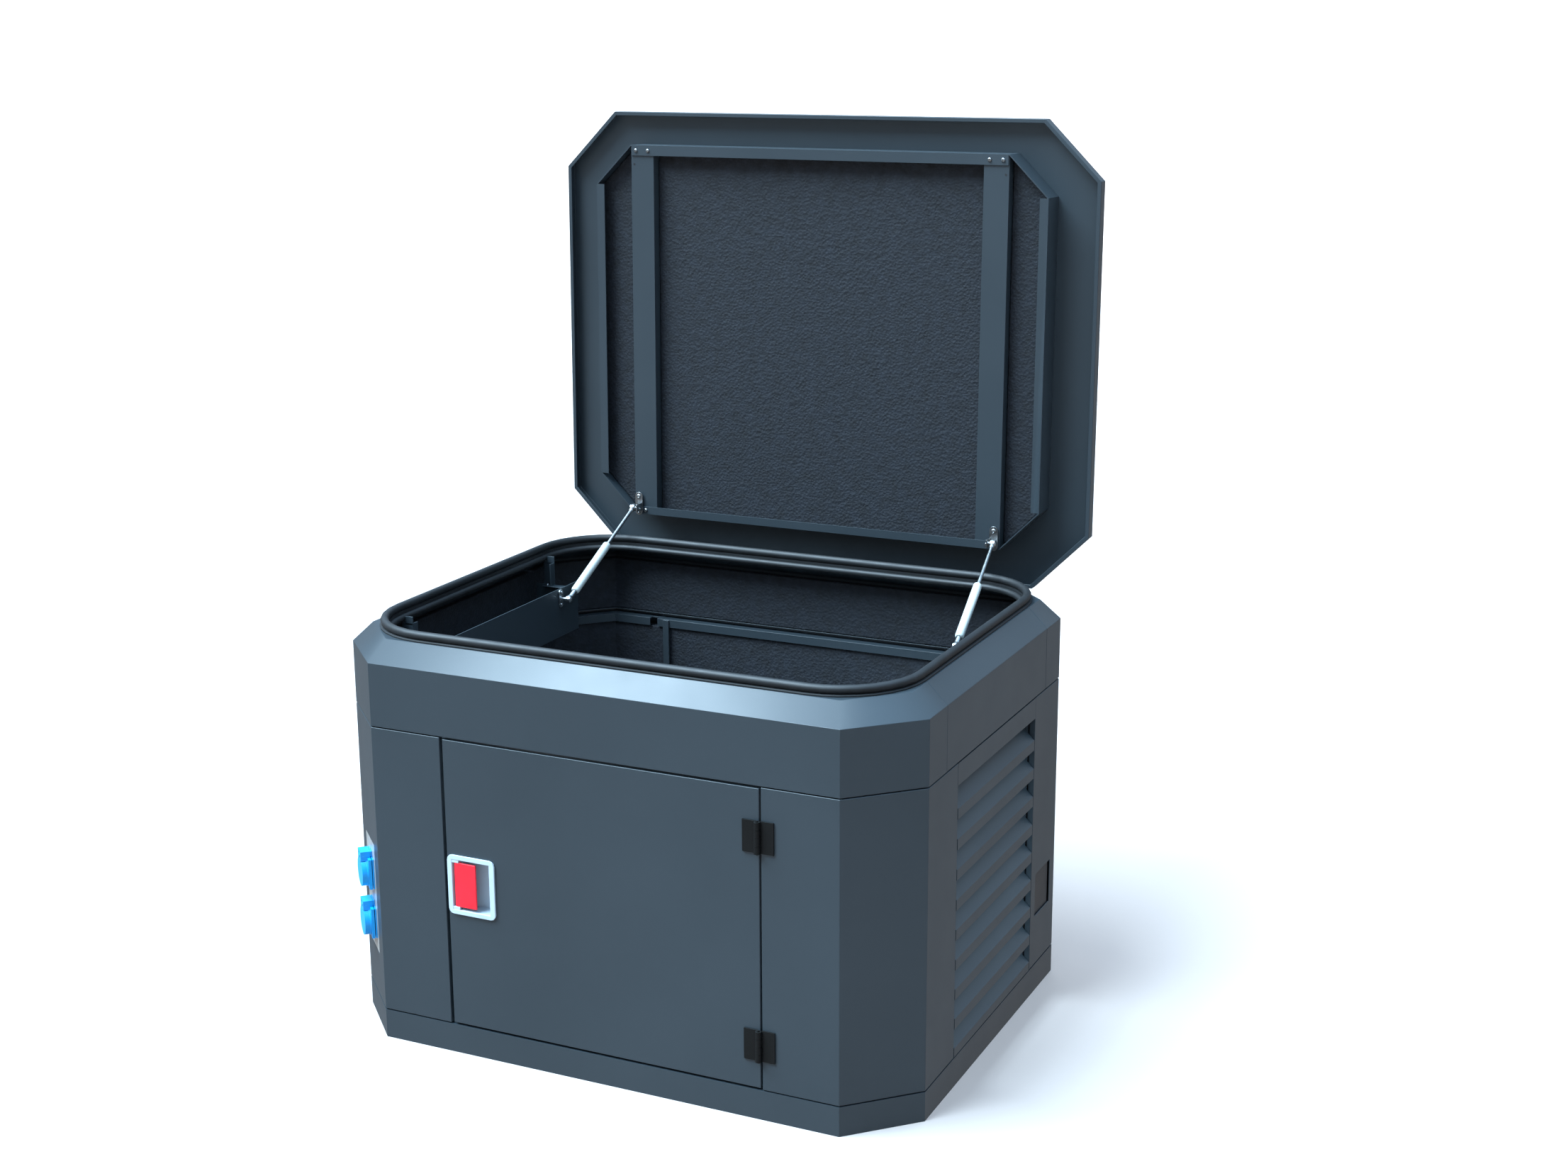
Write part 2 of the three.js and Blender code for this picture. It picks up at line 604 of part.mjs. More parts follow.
function lidHinge(middle, onLid) {
  const { y, z } = LID_HINGE;
  const x0 = middle - LID_HINGE_W / 2;
  const knuckle = LID_HINGE_W / 3;
  const parts = [];
  const rooms = [];
  if (onLid) {
    parts.push(box(x0, x0 + LID_HINGE_W, LID_BACK + CLEAR, LID_BACK + 2.8, z + 4, LID_TOP - 3));
  } else {
    parts.push(box(x0, x0 + LID_HINGE_W, HALF_Y + CLEAR, HALF_Y + 2.8, z - 46, z - 9));
  }
  for (let k = 0; k < 3; k++) {
    const a = x0 + k * knuckle;
    if ((k === 1) === onLid) {
      parts.push(bar(5.5, [a + 0.3, y, z], [a + knuckle - 0.3, y, z]));
      if (!onLid) {
        parts.push(box(a + 0.3, a + knuckle - 0.3, HALF_Y + CLEAR, y, z - 11, z - 2));
      }
    } else {
      rooms.push(bar(6.4, [a - 0.3, y, z], [a + knuckle + 0.3, y, z]));
    }
  }
  if (onLid) {
    rooms.push(bar(2.6, [x0 - 5, y, z], [x0 + LID_HINGE_W + 5, y, z], 10));
    return cut(join(...parts), ...rooms);
  }
  return join(cut(join(...parts), ...rooms), bar(2.1, [x0 - 2, y, z], [x0 + LID_HINGE_W + 2, y, z], 10));
}

// Lid: a shallow tray with a frame of folded channel, two ribs and foam

function lidOutline(inset) {
  const leg = LID_CORNER - inset * (2 - Math.SQRT2);
  return octagon(-LID_HALF_X + inset, LID_HALF_X - inset, LID_FRONT + inset, LID_BACK - inset, leg);
}

function lidShell() {
  const edge = LID_TOP - SKIRT;
  return join(
    prism(lidOutline(0), LID_TOP - SHEET, LID_TOP),
    prism(lidOutline(0), edge, LID_TOP - 1, lidOutline(SHEET)),
    prism(lidOutline(0.5), edge, edge + SHEET, lidOutline(7)),
  );
}

function lidFrameOutline(inset) {
  const leg = LID_FRAME_CORNER - inset * (2 - Math.SQRT2);
  return octagon(-LID_FRAME_X + inset, LID_FRAME_X - inset, LID_FRAME_FRONT + inset, LID_FRAME_BACK - inset, leg);
}

function lidFrame() {
  const top = LID_TOP - SHEET - CLEAR;
  const low = LID_FRAME_BOTTOM;
  const lipFront = LID_FRAME_FRONT + LID_FRAME_CORNER + 1;
  const lipBack = LID_FRAME_BACK - LID_FRAME_CORNER - 1;
  const endLip = LID_FRAME_X - LID_FRAME_CORNER - 2;
  const parts = [prism(lidFrameOutline(0), low, top, lidFrameOutline(SHEET))];
  for (const side of [-1, 1]) {
    parts.push(sideBox(side, LID_FRAME_X - 15, LID_FRAME_X - 1, lipFront, lipBack, low, low + SHEET));
  }
  parts.push(box(-endLip, endLip, LID_FRAME_FRONT + 1, LID_FRAME_FRONT + 18, low, low + SHEET));
  parts.push(box(-endLip, endLip, LID_FRAME_BACK - 14, LID_FRAME_BACK - 1, low, low + SHEET));
  return join(...parts);
}

function lidRib(side) {
  const face = LID_FRAME_BOTTOM + SHEET + CLEAR;
  const top = LID_TOP - SHEET - CLEAR;
  const front = LID_FRAME_FRONT + SHEET + CLEAR;
  const back = LID_FRAME_BACK - SHEET - CLEAR;
  return join(
    sideBox(side, RIB_INNER, RIB_OUTER, front, back, face, face + SHEET),
    sideBox(side, RIB_INNER, RIB_INNER + SHEET, front, back, face, top),
    sideBox(side, RIB_OUTER - SHEET, RIB_OUTER, front, back, face, top),
  );
}

function lidFoamCentre() {
  const edge = RIB_INNER - 0.5;
  const gap = SHEET + 0.5;
  return box(-edge, edge, LID_FRAME_FRONT + gap, LID_FRAME_BACK - gap, LID_FOAM_FACE, LID_TOP - SHEET - CLEAR);
}

function lidFoamSide(side) {
  const inside = lidFrameOutline(SHEET + 0.5);
  const slab = prism(inside, LID_FOAM_FACE, LID_TOP - SHEET - CLEAR);
  return slab.intersect(sideBox(side, RIB_OUTER + 0.5, 600, -400, 400, 600, 700));
}

// Gas struts and their fittings

function lidBracket(side) {
  const { y, z } = LID_BALL;
  const top = LID_FRAME_BOTTOM - CLEAR;
  const plate = sideBox(side, 341, 353, y - 26, y + 15, top - 2, top);
  const slots = [y - 16, y + 5].map((at) => sideBox(side, 345, 349, at - 5, at + 5, top - 5, top + 5));
  const ear = sideBox(side, 340, 342, y - 7, y + 7, z - 7, top - 0.5);
  const stud = bar(3, [side * 341, y, z], [side * 357, y, z]);
  return join(cut(plate, ...slots), ear, stud);
}

function strutFoot(side) {
  const { x, y, z } = STRUT_FOOT;
  const face = BAFFLE_X - SHEET - CLEAR;
  return join(
    sideBox(side, face - 2, face, y - 7, y + 7, z - 16, z + 16),
    bar(6, [side * (face - 4), y, z], [side * (face - 1), y, z]),
    bar(3, [side * (-x + 6.5), y, z], [side * (face - 3), y, z]),
  );
}

// Both strut pieces lie on the line from the lid's stud to the foot, at rest
function strutPieces(side, top) {
  const mirror = (p) => new THREE.Vector3(side * Math.abs(p.x), p.y, p.z);
  const head = mirror(top);
  const foot = mirror(STRUT_FOOT);
  const along = foot.clone().sub(head).normalize();
  const length = foot.distanceTo(head);
  const at = (distance) => head.clone().addScaledVector(along, distance).toArray();
  const bodyStart = length - STRUT_NECK - STRUT_BODY;
  const eyeHalf = 4.5;
  const eye = bar(6.5, [head.x - eyeHalf, head.y, head.z], [head.x + eyeHalf, head.y, head.z]);
  const eyeBore = bar(3.6, [head.x - 20, head.y, head.z], [head.x + 20, head.y, head.z]);
  const rod = cut(join(eye, bar(4.2, at(4), at(10)), bar(3, at(8), at(bodyStart + 20))), eyeBore);
  const tube = join(
    bar(7.5, at(bodyStart), at(bodyStart + STRUT_BODY)),
    bar(4.2, at(bodyStart + STRUT_BODY - 2), at(length - 4)),
    bar(5.5, [foot.x - 4.5, foot.y, foot.z], [foot.x + 4.5, foot.y, foot.z]),
  );
  const bore = bar(4, at(bodyStart - 1), at(bodyStart + STRUT_BODY - 8));
  return { rod, tube: cut(tube, bore) };
}

// Generator set on its skid

const SHAFT_Z = 205;

function skidFrame() {
  const x0 = -300;
  const x1 = 290;
  const y0 = -190;
  const y1 = 190;
  const z0 = 62;
  const z1 = 86;
  const tube = 24;
  return join(
    box(x0, x1, y0, y0 + tube, z0, z1),
    box(x0, x1, y1 - tube, y1, z0, z1),
    ...[x0, -90, 60, x1 - tube].map((x) => box(x, x + tube, y0 + 1, y1 - 1, z0, z1)),
  );
}

function engine() {
  const bottom = 86 + CLEAR;
  const fins = [];
  for (let k = 0; k < 7; k++) {
    fins.push(box(38, 172, -72, 72, 262 + k * 13, 267 + k * 13));
  }
  return join(
    box(30, 180, -105, 105, bottom, 250),
    box(55, 155, -130, 130, bottom, bottom + 14),
    box(55, 155, -55, 55, 249, 360),
    box(48, 162, -60, 60, 352, 392),
    ...fins,
  );
}

function blowerHousing() {
  const x = 180 + CLEAR;
  const profile = [[0, x + 6], [60, x + 6], [60, x], [112, x], [118, x + 10], [118, x + 42], [90, x + 62],
    [34, x + 70], [0, x + 70]];
  return turnedAlongX(profile, 0, SHAFT_Z, 28);
}

function alternator() {
  const x1 = 30 - CLEAR;
  const profile = [[0, -250], [70, -250], [84, -236], [84, -200], [98, -196], [98, -20], [88, -14],
    [88, x1], [0, x1]];
  const feet = box(-190, -30, -80, 80, 86 + CLEAR, 130);
  return join(turnedAlongX(profile, 0, SHAFT_Z, 28), feet);
}

function muffler() {
  const y = 235;
  const z = EXHAUST.z;
  const profile = [[0, 60], [34, 60], [48, 70], [48, 240], [34, 250], [0, 250]];
  return join(
    turnedAlongX(profile, y, z, 20),
    bar(16, [EXHAUST.x, y, z], [EXHAUST.x, HALF_Y + 9, z], 20),
    bar(14, [110, y, z], [110, 72.4, z], 16),
  );
}

function battery() {
  return join(
    box(-285, -110, 106, 186, 86 + CLEAR, 250),
    box(-282, -113, 109, 183, 249, 256),
    bar(7, [-265, 146, 255], [-265, 146, 270]),
    bar(7, [-130, 146, 255], [-130, 146, 270]),
  );
}

function controlBox() {
  return join(
    box(-398, -300, -330, -240, 330, 480),
    box(-392, -306, -334, -329, 338, 472),
  );
}

function gasRegulator() {
  const profile = [[0, -262], [30, -262], [52, -252], [52, -240], [56, -240], [56, -234], [52, -234],
    [52, -222], [30, -212], [0, -212]];
  return join(
    turnedAlongX(profile, 300, GAS_INLET.z, 20),
    bar(9, [GAS_INLET.x, 310, GAS_INLET.z], [GAS_INLET.x, HALF_Y + 9, GAS_INLET.z], 16),
    box(-247, -227, 290, 310, PLINTH_TOP + CLEAR, 120),
  );
}

function hatchPlate() {
  const { y0, y1, z0, z1 } = CABLE_WINDOW;
  return box(HALF_X - 4.6, HALF_X - 2.6, y0 - 8, y1 - 4, z0 - 8, z1 + 8);
}

// Fixed pieces

add("base_tray", baseTray(), "paint");
add("front_left_panel", frontLeftPanel(), "paint");
add("front_right_panel", frontCorner(1, RIGHT_JAMB), "paint");
add("rear_left_panel", rearCorner(-1), "paint");
add("rear_right_panel", rearRightPanel(), "paint");
add("rear_panel", rearPanel(), "paint");
add("hatch_plate", hatchPlate(), "paint");
add("left_louvre", louvre(-1), "paint");
add("right_louvre", louvre(1), "paint");
for (const [name, solid] of Object.entries(collarPieces())) add(name, solid, "paint");
add("inner_frame", innerFrame(), "paint");
add("left_baffle", baffle(-1), "paint");
add("right_baffle", baffle(1), "paint");
add("collar_foam", collarFoam(), "foam");
add("rear_foam", rearFoam(), "foam");
add("lid_seal", sealRing(), "rubber");
add("outlet_plate", outletPlate(), "plate");
for (const [which, middle] of Object.entries(OUTLETS)) {
  add(`${which}_outlet`, outletBody(middle), "blue");
  add(`${which}_outlet_lid`, outletLid(middle), "blue");
}
add("skid_frame", skidFrame(), "black");
add("engine", engine(), "cast");
add("blower_housing", blowerHousing(), "black");
add("alternator", alternator(), "cast");
add("muffler", muffler(), "zinc");
add("battery", battery(), "black");
add("control_box", controlBox(), "grey");
add("gas_regulator", gasRegulator(), "cast");

// Door

add("door_panel", doorPanel(), "paint");
add("door_foam", doorFoam(), "foam");
add("latch_frame", latchFrame(), "grey");
add("latch_paddle", latchPaddle(), "red");
add("latch_bolt", latchBolt(), "zinc");
["lower", "upper"].forEach((which, k) => {
  add(`${which}_hinge_door_leaf`, doorHingeLeaf(HINGE_Z[k], true), "black");
  add(`${which}_hinge_frame_leaf`, doorHingeLeaf(HINGE_Z[k], false), "black");
});

// Lid, modelled closed inside a group that is turned open about the hinge line

const lidTurn = new THREE.Group();
lidTurn.position.set(0, LID_HINGE.y, LID_HINGE.z);
lidTurn.rotation.x = -THREE.MathUtils.degToRad(LID_OPEN);
const lid = new THREE.Group();
lid.position.set(0, -LID_HINGE.y, -LID_HINGE.z);
lidTurn.add(lid);
group.add(lidTurn);
lidTurn.updateMatrixWorld(true);

add("lid_shell", lidShell(), "paint", lid);
add("lid_frame", lidFrame(), "paint", lid);
add("lid_foam_centre", lidFoamCentre(), "foam", lid);
const strutHead = new THREE.Vector3(STRUT_TOP.x, LID_BALL.y, LID_BALL.z).applyMatrix4(lid.matrixWorld);
["left", "right"].forEach((which, k) => {
  const side = k === 0 ? -1 : 1;
  add(`${which}_lid_rib`, lidRib(side), "paint", lid);
  add(`${which}_lid_foam`, lidFoamSide(side), "foam", lid);
  add(`${which}_lid_bracket`, lidBracket(side), "zinc", lid);
  add(`${which}_lid_hinge_leaf`, lidHinge(LID_HINGE_X[k], true), "black", lid);
  add(`${which}_lid_hinge_base`, lidHinge(LID_HINGE_X[k], false), "black");
  add(`${which}_strut_foot`, strutFoot(side), "zinc");
  const strut = strutPieces(side, strutHead);
  add(`${which}_strut_rod`, strut.rod, "zinc");
  add(`${which}_strut_cylinder`, strut.tube, "strut");
});

export default group;
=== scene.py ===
"""The looks of a home standby generator with its lid standing open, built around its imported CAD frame."""
import json
import math

import bmesh
import bpy
from mathutils import Matrix, Vector

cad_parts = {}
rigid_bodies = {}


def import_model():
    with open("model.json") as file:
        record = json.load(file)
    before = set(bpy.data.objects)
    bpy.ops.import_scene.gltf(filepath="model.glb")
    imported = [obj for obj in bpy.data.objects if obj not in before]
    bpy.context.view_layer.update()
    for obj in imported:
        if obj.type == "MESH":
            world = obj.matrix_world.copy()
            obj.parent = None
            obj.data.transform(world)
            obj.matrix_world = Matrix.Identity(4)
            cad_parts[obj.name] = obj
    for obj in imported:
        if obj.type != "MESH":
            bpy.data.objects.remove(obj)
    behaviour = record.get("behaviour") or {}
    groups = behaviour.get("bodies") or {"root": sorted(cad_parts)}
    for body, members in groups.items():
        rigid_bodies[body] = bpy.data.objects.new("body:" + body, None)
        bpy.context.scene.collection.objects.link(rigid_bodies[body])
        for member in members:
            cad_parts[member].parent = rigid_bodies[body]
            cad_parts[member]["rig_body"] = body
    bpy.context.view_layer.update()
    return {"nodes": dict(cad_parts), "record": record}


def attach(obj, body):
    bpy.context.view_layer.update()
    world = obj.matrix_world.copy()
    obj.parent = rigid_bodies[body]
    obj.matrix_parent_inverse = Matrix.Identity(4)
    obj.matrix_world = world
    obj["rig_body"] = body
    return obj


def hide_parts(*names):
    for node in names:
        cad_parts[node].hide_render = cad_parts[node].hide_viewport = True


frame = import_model()
NODES = frame["nodes"]
MM = 0.001

# ---------------------------------------------------------------------- camera and light

CAMERA_PLACE = (1.5947, -3.12811, 1.62157)
CAMERA_RIGHT = (0.90611566, 0.42301089, -0.00402384)
CAMERA_UP = (-0.10347425, 0.23085124, 0.96747133)
CAMERA_FORWARD = (-0.41017982, 0.87622457, -0.25294866)
FOCAL_LENGTH = 50.97


def add_camera():
    data = bpy.data.cameras.new("camera")
    data.lens = FOCAL_LENGTH
    data.sensor_width = 36.0
    data.clip_end = 2000.0
    camera = bpy.data.objects.new("camera", data)
    bpy.context.scene.collection.objects.link(camera)
    back = [-v for v in CAMERA_FORWARD]
    columns = zip(CAMERA_RIGHT, CAMERA_UP, back, CAMERA_PLACE)
    camera.matrix_world = Matrix([*map(list, columns), [0, 0, 0, 1]])
    bpy.context.scene.camera = camera


def sun_light(name, towards, spread, power, colour):
    """A far light from the given direction, spread over an angle in degrees."""
    data = bpy.data.lights.new(name, "SUN")
    data.angle = math.radians(spread)
    data.energy = power
    data.color = colour
    light = bpy.data.objects.new(name, data)
    bpy.context.scene.collection.objects.link(light)
    light.rotation_euler = Vector(towards).to_track_quat("Z", "Y").to_euler()


# The sky's colour from straight down (0) through the horizon (0.5) to straight up (1)
SKY_STOPS = (
    (0.00, (0.38, 0.365, 0.36)),
    (0.52, (0.31, 0.31, 0.315)),
    (0.66, (0.35, 0.39, 0.43)),
    (0.82, (0.80, 1.20, 1.65)),
    (1.00, (1.60, 2.50, 3.50)),
)


def fill_ramp(node, stops):
    """Gives a colour ramp its (position, colour) stops."""
    elements = node.color_ramp.elements
    for k, (position, colour) in enumerate(stops):
        element = elements[k] if k < 2 else elements.new(position)
        element.position = position
        element.color = (*colour, 1)


def add_sky():
    """A sky whose colour depends only on how high the direction points."""
    world = bpy.data.worlds.new("sky")
    world.use_nodes = True
    tree = world.node_tree
    place = tree.nodes.new("ShaderNodeTexCoord")
    parts = tree.nodes.new("ShaderNodeSeparateXYZ")
    height = tree.nodes.new("ShaderNodeMapRange")
    height.inputs["From Min"].default_value = -1.0
    ramp = tree.nodes.new("ShaderNodeValToRGB")
    fill_ramp(ramp, SKY_STOPS)
    tree.links.new(place.outputs["Generated"], parts.inputs["Vector"])
    tree.links.new(parts.outputs["Z"], height.inputs["Value"])
    tree.links.new(height.outputs["Result"], ramp.inputs["Fac"])
    tree.links.new(ramp.outputs["Color"], tree.nodes["Background"].inputs["Color"])
    bpy.context.scene.world = world


BRIGHT_SKY_TOWARDS = (-0.44, -0.32, 0.84)
BRIGHT_SKY_SPREAD = 42
BRIGHT_SKY_POWER = 12.0
BRIGHT_SKY_COLOUR = (0.64, 0.85, 1.0)


def add_lights():
    add_sky()
    sun_light("open_sky", BRIGHT_SKY_TOWARDS, BRIGHT_SKY_SPREAD, BRIGHT_SKY_POWER, BRIGHT_SKY_COLOUR)
    bpy.context.scene.view_settings.view_transform = "Standard"


# The studio, in metres. Its sheets are warm enough to look white under the blue sky light
STUDIO_PALE = (0.40, 0.345, 0.32)
STUDIO_HALF = 30.0
STUDIO_BACK = 9.0
WALL_HEIGHT = 12.0
FLOOR_GLOW = 0.12
WALL_GLOW = 1.0


def white_sheet(name, corners, glow):
    """A plain pale surface with a glow of its own. Glossy surfaces don't mirror it."""
    mesh = bpy.data.meshes.new(name)
    mesh.from_pydata(corners, [], [(0, 1, 2, 3)])
    sheet = bpy.data.objects.new(name, mesh)
    bpy.context.scene.collection.objects.link(sheet)
    material = bpy.data.materials.new(name)
    material.use_nodes = True
    shader = material.node_tree.nodes["Principled BSDF"]
    shader.inputs["Base Color"].default_value = (*STUDIO_PALE, 1)
    shader.inputs["Roughness"].default_value = 0.9
    shader.inputs["Emission Color"].default_value = (1, 1, 1, 1)
    shader.inputs["Emission Strength"].default_value = glow
    mesh.materials.append(material)
    sheet.visible_glossy = False
    return sheet


def white_wall(name, start, end):
    corners = [(*start, 0), (*end, 0), (*end, WALL_HEIGHT), (*start, WALL_HEIGHT)]
    return white_sheet(name, corners, WALL_GLOW)


def add_studio():
    """Floor and backdrop, and three more walls that give no light, so every view has a pale ground."""
    front_left, front_right = (-STUDIO_HALF, -STUDIO_HALF), (STUDIO_HALF, -STUDIO_HALF)
    back_left, back_right = (-STUDIO_HALF, STUDIO_BACK), (STUDIO_HALF, STUDIO_BACK)
    corners = (front_left, front_right, back_right, back_left)
    white_sheet("floor", [(*corner, 0) for corner in corners], FLOOR_GLOW)
    white_wall("backdrop", back_left, back_right)
    for name, start, end in (("left_wall", front_left, back_left),
                             ("right_wall", front_right, back_right),
                             ("front_wall", front_left, front_right)):
        wall = white_wall(name, start, end)
        wall.visible_diffuse = False
        wall.visible_shadow = False


# ---------------------------------------------------------------------- materials


class Graph:
    """A new material with short calls for its nodes."""

    def __init__(self, name):
        self.material = bpy.data.materials.new(name)
        self.material.use_nodes = True
        self.tree = self.material.node_tree
        self.shader = self.tree.nodes["Principled BSDF"]
        self.place = self.node("ShaderNodeTexCoord").outputs["Object"]

    def node(self, kind):
        return self.tree.nodes.new(kind)

    def link(self, source, target):
        self.tree.links.new(source, target)

    def set(self, **values):
        for key, value in values.items():
            self.shader.inputs[key.replace("_", " ")].default_value = value

    def noise(self, scale, detail):
        node = self.node("ShaderNodeTexNoise")
        node.inputs["Scale"].default_value = scale
        node.inputs["Detail"].default_value = detail
        self.link(self.place, node.inputs["Vector"])
        return node.outputs["Fac"]

    def cells(self, scale):
        node = self.node("ShaderNodeTexVoronoi")
        node.inputs["Scale"].default_value = scale
        self.link(self.place, node.inputs["Vector"])
        return node.outputs["Distance"]

    def colour(self, factor, stops):
        node = self.node("ShaderNodeValToRGB")
        fill_ramp(node, stops)
        self.link(factor, node.inputs["Fac"])
        self.link(node.outputs["Color"], self.shader.inputs["Base Color"])

    def roughness(self, factor, low, high):
        node = self.node("ShaderNodeMapRange")
        node.inputs["To Min"].default_value = low
        node.inputs["To Max"].default_value = high
        self.link(factor, node.inputs["Value"])
        self.link(node.outputs["Result"], self.shader.inputs["Roughness"])

    def bump(self, layers):
        """Stacks bumps, each a height, a strength and a depth in metres."""
        normal = None
        for height, strength, distance in layers:
            node = self.node("ShaderNodeBump")
            node.inputs["Strength"].default_value = strength
            node.inputs["Distance"].default_value = distance
            self.link(height, node.inputs["Height"])
            if normal:
                self.link(normal, node.inputs["Normal"])
            normal = node.outputs["Normal"]
        self.link(normal, self.shader.inputs["Normal"])


def powder_coat(name, dark, light, low=0.36, high=0.46, shine=0.5):
    """Paint with faint patches of colour, a fine grain and very shallow waves."""
    g = Graph(name)
    grain = g.noise(900.0, 2.0)
    g.colour(g.noise(2.2, 4.0), [(0.3, dark), (0.7, light)])
    g.roughness(g.noise(14.0, 5.0), low, high)
    g.set(Metallic=0.0, Specular_IOR_Level=shine)
    g.bump([(grain, 0.16, 0.0006), (g.noise(5.0, 2.0), 0.05, 0.004)])
    return g.material


def make_materials():
    """One finish for each material slot, by name."""
    m = {}
    m["painted_sheet"] = powder_coat("painted_sheet", (0.023, 0.032, 0.039), (0.028, 0.038, 0.046))
    # A darker copy of the sheet's paint for the hatch plate: painted shade of the recess it sits in.
    m["painted_plate"] = powder_coat("painted_plate", (0.010, 0.013, 0.017), (0.014, 0.017, 0.021))
    m["black_paint"] = powder_coat("black_paint", (0.004, 0.004, 0.004), (0.006, 0.006, 0.006),
                                   low=0.42, high=0.58, shine=0.22)

    g = Graph("sound_foam")
    pebble = g.cells(210.0)
    g.colour(g.noise(60.0, 6.0), [(0.3, (0.004, 0.005, 0.008)), (0.75, (0.009, 0.012, 0.019))])
    g.roughness(g.noise(90.0, 4.0), 0.62, 0.85)
    g.bump([(pebble, 0.4, 0.002), (g.noise(420.0, 4.0), 0.5, 0.0012)])
    m["sound_foam"] = g.material

    g = Graph("seal_rubber")
    g.colour(g.noise(25.0, 5.0), [(0.3, (0.005, 0.006, 0.007)), (0.75, (0.010, 0.011, 0.013))])
    g.roughness(g.noise(40.0, 5.0), 0.50, 0.66)
    g.bump([(g.noise(500.0, 3.0), 0.12, 0.0005)])
    m["seal_rubber"] = g.material

    g = Graph("zinc_plate")
    g.colour(g.noise(35.0, 5.0), [(0.25, (0.30, 0.31, 0.32)), (0.8, (0.50, 0.51, 0.51))])
    g.roughness(g.noise(120.0, 4.0), 0.22, 0.42)
    g.set(Metallic=1.0)
    g.bump([(g.noise(400.0, 3.0), 0.08, 0.0004)])
    m["zinc_plate"] = g.material

    g = Graph("galvanised_plate")
    g.colour(g.cells(60.0), [(0.1, (0.55, 0.54, 0.52)), (0.8, (0.70, 0.69, 0.66))])
    g.roughness(g.noise(60.0, 4.0), 0.35, 0.55)
    g.set(Metallic=0.85)
    g.bump([(g.noise(300.0, 3.0), 0.08, 0.0005)])
    m["galvanised_plate"] = g.material

    g = Graph("strut_paint")
    g.colour(g.noise(30.0, 4.0), [(0.3, (0.50, 0.54, 0.52)), (0.7, (0.58, 0.61, 0.59))])
    g.roughness(g.noise(80.0, 3.0), 0.25, 0.4)
    g.bump([(g.noise(600.0, 2.0), 0.06, 0.0003)])
    m["strut_paint"] = g.material

    for name, dark, light, low, high in (
        ("black_plastic", (0.011, 0.011, 0.012), (0.019, 0.019, 0.020), 0.40, 0.58),
        ("grey_plastic", (0.36, 0.43, 0.48), (0.41, 0.48, 0.53), 0.38, 0.5),
        ("red_plastic", (0.78, 0.004, 0.016), (0.88, 0.006, 0.024), 0.34, 0.46),
        ("blue_plastic", (0.001, 0.22, 0.56), (0.002, 0.28, 0.66), 0.28, 0.42),
    ):
        g = Graph(name)
        g.colour(g.noise(18.0, 4.0), [(0.3, dark), (0.7, light)])
        g.roughness(g.noise(50.0, 4.0), low, high)
        g.bump([(g.noise(800.0, 2.0), 0.08, 0.0004)])
        m[name] = g.material

    g = Graph("cast_metal")
    g.colour(g.noise(40.0, 6.0), [(0.3, (0.24, 0.25, 0.26)), (0.75, (0.40, 0.41, 0.42))])
    g.roughness(g.noise(60.0, 4.0), 0.42, 0.62)
    g.set(Metallic=0.8)
    g.bump([(g.noise(420.0, 5.0), 0.35, 0.001)])
    m["cast_metal"] = g.material
    return m


add_camera()
add_lights()
add_studio()
FINISH = make_materials()
SLOT_OF = {s["node"]: s["material_slot"] for s in frame["record"]["subparts"]}
BODY_OF = {n: o["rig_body"] for n, o in NODES.items()}

# ---------------------------------------------------------------------- sheet with soft edges


def place_piece(name, mesh, body, slot, replaced=(), finish=None):
    """Adds a piece to its body, in its slot's finish or another, standing in for the replaced nodes."""
    mesh.materials.clear()
    mesh.materials.append(FINISH[finish or slot])
    piece = bpy.data.objects.new(name, mesh)
    bpy.context.scene.collection.objects.link(piece)
    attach(piece, body)
    if replaced:
        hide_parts(*replaced)


SAME_POINT = 2e-6
FLAT_ANGLE = math.radians(0.4)


def merged_copy(node):
    """The node's shape with its flat faces whole again, ready to have its edges rounded."""
    bm = bmesh.new()
    bm.from_mesh(NODES[node].data)
    bmesh.ops.remove_doubles(bm, verts=bm.verts, dist=SAME_POINT)
    bmesh.ops.dissolve_limit(bm, angle_limit=FLAT_ANGLE, verts=bm.verts, edges=bm.edges)
    mesh = bpy.data.meshes.new(node)
    mesh.from_pydata(*polygons_of(bm))
    bm.free()
    return mesh


def polygons_of(bm):
    bm.verts.index_update()
    return [v.co[:] for v in bm.verts], [], [[v.index for v in f.verts] for f in bm.faces]


def soften(mesh, width, segments=2, angle=33.0):
    """Rounds every edge sharper than the angle and returns the finished mesh."""
    shape = bpy.data.objects.new("shape", mesh)
    bpy.context.scene.collection.objects.link(shape)
    for polygon in mesh.polygons:
        polygon.use_smooth = True
    bevel = shape.modifiers.new("bevel", "BEVEL")
    bevel.width = width
    bevel.segments = segments
    bevel.limit_method = "ANGLE"
    bevel.angle_limit = math.radians(angle)
    bevel.harden_normals = True
    graph = bpy.context.evaluated_depsgraph_get()
    result = bpy.data.meshes.new_from_object(shape.evaluated_get(graph))
    bpy.data.objects.remove(shape)
    return result


def dress(node, width, segments, finish=None):
    """Replaces a node by its own shape with rounded edges."""
    mesh = soften(merged_copy(node), width, segments)
    place_piece(node + "_skin", mesh, BODY_OF[node], SLOT_OF[node], [node], finish)


# ---------------------------------------------------------------------- shapes made one by one


def mesh_of(name, verts, faces):
    """A smooth-shaded mesh from points in millimetres."""
    mesh = bpy.data.meshes.new(name)
    mesh.from_pydata([tuple(c * MM for c in v) for v in verts], [], faces)
    for polygon in mesh.polygons:
        polygon.use_smooth = True
    mesh.validate()
    return mesh


